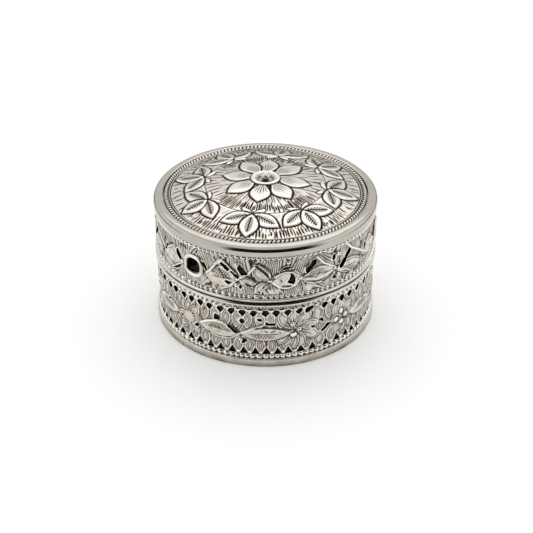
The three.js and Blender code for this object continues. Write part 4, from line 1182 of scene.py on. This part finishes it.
def rosette_bead(girth=1.5):
    """The ball in the middle: an ellipse of that half width, from a narrow foot in the dish up to its pole, painted
    dark below its middle as shade.
    """
    centre = BALL_TOP - BALL_RADIUS
    lift = np.radians(np.arange(-50, 90, 10))
    outline = [(0, DISH_LEVEL), (girth * 0.6, DISH_LEVEL),
               *zip(girth * np.cos(lift), centre + BALL_RADIUS * np.sin(lift)), (0, BALL_TOP)]
    ball = disc("rosette_bead", outline, CHASED, 64)
    # Painted shade: the ball is dark below its middle and light on its upper part, as light from above falls on it
    height = vertices_of(ball)[:, 2] - centre
    mount_on(ball, "lid", "rosette_ball", 0.85 - 0.62 * smooth(-1, -0.2, height))


make_dome()
milled_border()
border_wire()
rosette_boss()
rosette_bead()


# Stage, light and camera

# Reach in metres, strengths of light as shares of white, the lamp in watts
FLOOR_GLOW = 0.12
FLOOR_REACH = 4
HORIZON_LIGHT = 0.72
OVERHEAD_LIGHT = 0.88
SIDE_LIGHT = 1.25
SOFTBOX_WATTS = 0.48


def make_floor():
    """A wide dull pale floor. It glows a little for the camera and in reflections, so that it is white away
    from the box's shadow."""
    material = bpy.data.materials.new("white_paper_sweep")
    material.use_nodes = True
    tree = material.node_tree
    paper = tree.nodes["Principled BSDF"]
    paper.inputs["Base Color"].default_value = linear("#F8F8F7")
    paper.inputs["Roughness"].default_value = 0.9
    paper.inputs["Specular IOR Level"].default_value = 0.1
    path = node(tree, "ShaderNodeLightPath").outputs
    shown = path["Is Camera Ray"]
    for ray in ("Is Glossy Ray", "Is Transmission Ray"):
        shown = node(tree, "ShaderNodeMath", {0: shown, 1: path[ray]}, operation="MAXIMUM").outputs[0]
    strength = node(tree, "ShaderNodeMath", {0: shown, 1: FLOOR_GLOW}, operation="MULTIPLY").outputs[0]
    glow = node(tree, "ShaderNodeEmission", {"Color": (1, 1, 1, 1), "Strength": strength})
    both = node(tree, "ShaderNodeAddShader", {0: paper.outputs[0], 1: glow.outputs[0]})
    tree.links.new(both.outputs[0], tree.nodes["Material Output"].inputs["Surface"])
    mesh = bpy.data.meshes.new("floor")
    corners = ((-1, -1), (1, -1), (1, 1), (-1, 1))
    mesh.from_pydata([(x * FLOOR_REACH, y * FLOOR_REACH, 0) for x, y in corners], [], [(0, 1, 2, 3)])
    mesh.materials.append(material)
    floor = placed("floor", mesh)


def dark_card(name, radius, tall, turns, fades, top_fade):
    """A curved dark card that only reflections see. It stands on the floor at a distance from the axis, from
    one angle to another, and fades out between two pairs of angles at its sides and towards its top."""
    turn, up = np.meshgrid(np.linspace(*turns, 97), np.linspace(0, 1, 25))
    points = round_place(radius, turn, up * tall).reshape(-1, 3)
    index = np.arange(turn.size).reshape(turn.shape)
    faces = np.stack([index[:-1, :-1], index[:-1, 1:], index[1:, 1:], index[1:, :-1]], axis=-1).reshape(-1, 4)
    mesh = bpy.data.meshes.new(name)
    mesh.from_pydata((points * MM).tolist(), [], faces.tolist())
    card = placed(name, mesh)
    sides = smooth(fades[0], fades[1], turn) * (1 - smooth(fades[2], fades[3], turn))
    set_attribute(card, "cover", sides * (1 - smooth(top_fade, 1, up)))
    material = bpy.data.materials.new("black_card")
    material.use_nodes = True
    tree = material.node_tree
    tree.nodes.remove(tree.nodes["Principled BSDF"])
    amount = node(tree, "ShaderNodeAttribute", attribute_name="cover").outputs["Fac"]
    clear = node(tree, "ShaderNodeBsdfTransparent")
    black = node(tree, "ShaderNodeEmission", {"Color": linear("#14110E"), "Strength": 1.0})
    mix = node(tree, "ShaderNodeMixShader", {0: amount, 1: clear.outputs[0], 2: black.outputs[0]})
    tree.links.new(mix.outputs[0], tree.nodes["Material Output"].inputs["Surface"])
    mesh.materials.append(material)
    card.visible_camera = card.visible_diffuse = card.visible_shadow = card.visible_transmission = False


def make_world():
    """White light from all round, weaker towards the horizon and stronger towards both sides."""
    world = bpy.data.worlds.new("studio")
    bpy.context.scene.world = world
    world.use_nodes = True
    tree = world.node_tree
    way = node(tree, "ShaderNodeTexCoord").outputs["Generated"]
    parts = node(tree, "ShaderNodeSeparateXYZ", {"Vector": way}).outputs
    climb = {"Value": parts["Z"], "From Min": -0.05, "From Max": 0.4,
             "To Min": HORIZON_LIGHT, "To Max": OVERHEAD_LIGHT}
    above = node(tree, "ShaderNodeMapRange", climb).outputs["Result"]
    aside = node(tree, "ShaderNodeMath", {0: parts["X"]}, operation="ABSOLUTE").outputs[0]
    gain = {"Value": aside, "From Min": 0.55, "From Max": 0.85, "To Min": 1.0, "To Max": SIDE_LIGHT}
    sides = node(tree, "ShaderNodeMapRange", gain, interpolation_type="SMOOTHSTEP").outputs["Result"]
    light = node(tree, "ShaderNodeMath", {0: above, 1: sides}, operation="MULTIPLY")
    tree.nodes["Background"].inputs["Color"].default_value = (1, 1, 1, 1)
    tree.links.new(light.outputs[0], tree.nodes["Background"].inputs["Strength"])


def make_softbox():
    """A wide soft lamp high behind the box, turned to it."""
    data = bpy.data.lights.new("softbox", "AREA")
    data.shape = "RECTANGLE"
    data.size = 0.5
    data.size_y = 0.4
    data.energy = SOFTBOX_WATTS
    lamp = placed("softbox", data)
    tilt = math.radians(60)
    reach = 0.55
    lamp.location = (0.03, reach * math.cos(tilt), reach * math.sin(tilt))
    lamp.rotation_euler = (tilt - math.pi / 2, 0, 0)


def make_camera():
    """The camera at the photo's angle: in front, turned down by its elevation, its lens from the focal length
    in pixels times the sensor's width over the frame's."""
    data = bpy.data.cameras.new("camera")
    data.sensor_width = SENSOR_WIDTH
    data.lens = FOCAL_PIXELS / FRAME_PIXELS * SENSOR_WIDTH
    data.shift_x = AXIS_OFFSET_PIXELS / FRAME_PIXELS
    camera = placed("camera", data)
    tilt = math.radians(CAMERA_ELEVATION)
    reach = CAMERA_DISTANCE * MM
    camera.location = (0, -reach * math.cos(tilt), LOOK_HEIGHT * MM + reach * math.sin(tilt))
    camera.rotation_euler = (math.pi / 2 - tilt, 0, 0)
    bpy.context.scene.camera = camera


make_floor()
dark_card("dark_card", 128.0, 165.0, (-60, 70), (-40, -26, 34, 56), 0.7)
dark_card("back_card", 300.0, 60.0, (60, 300), (70, 100, 260, 290), 0.3)
make_world()
make_softbox()
make_camera()
bpy.context.scene.view_settings.view_transform = "Standard"
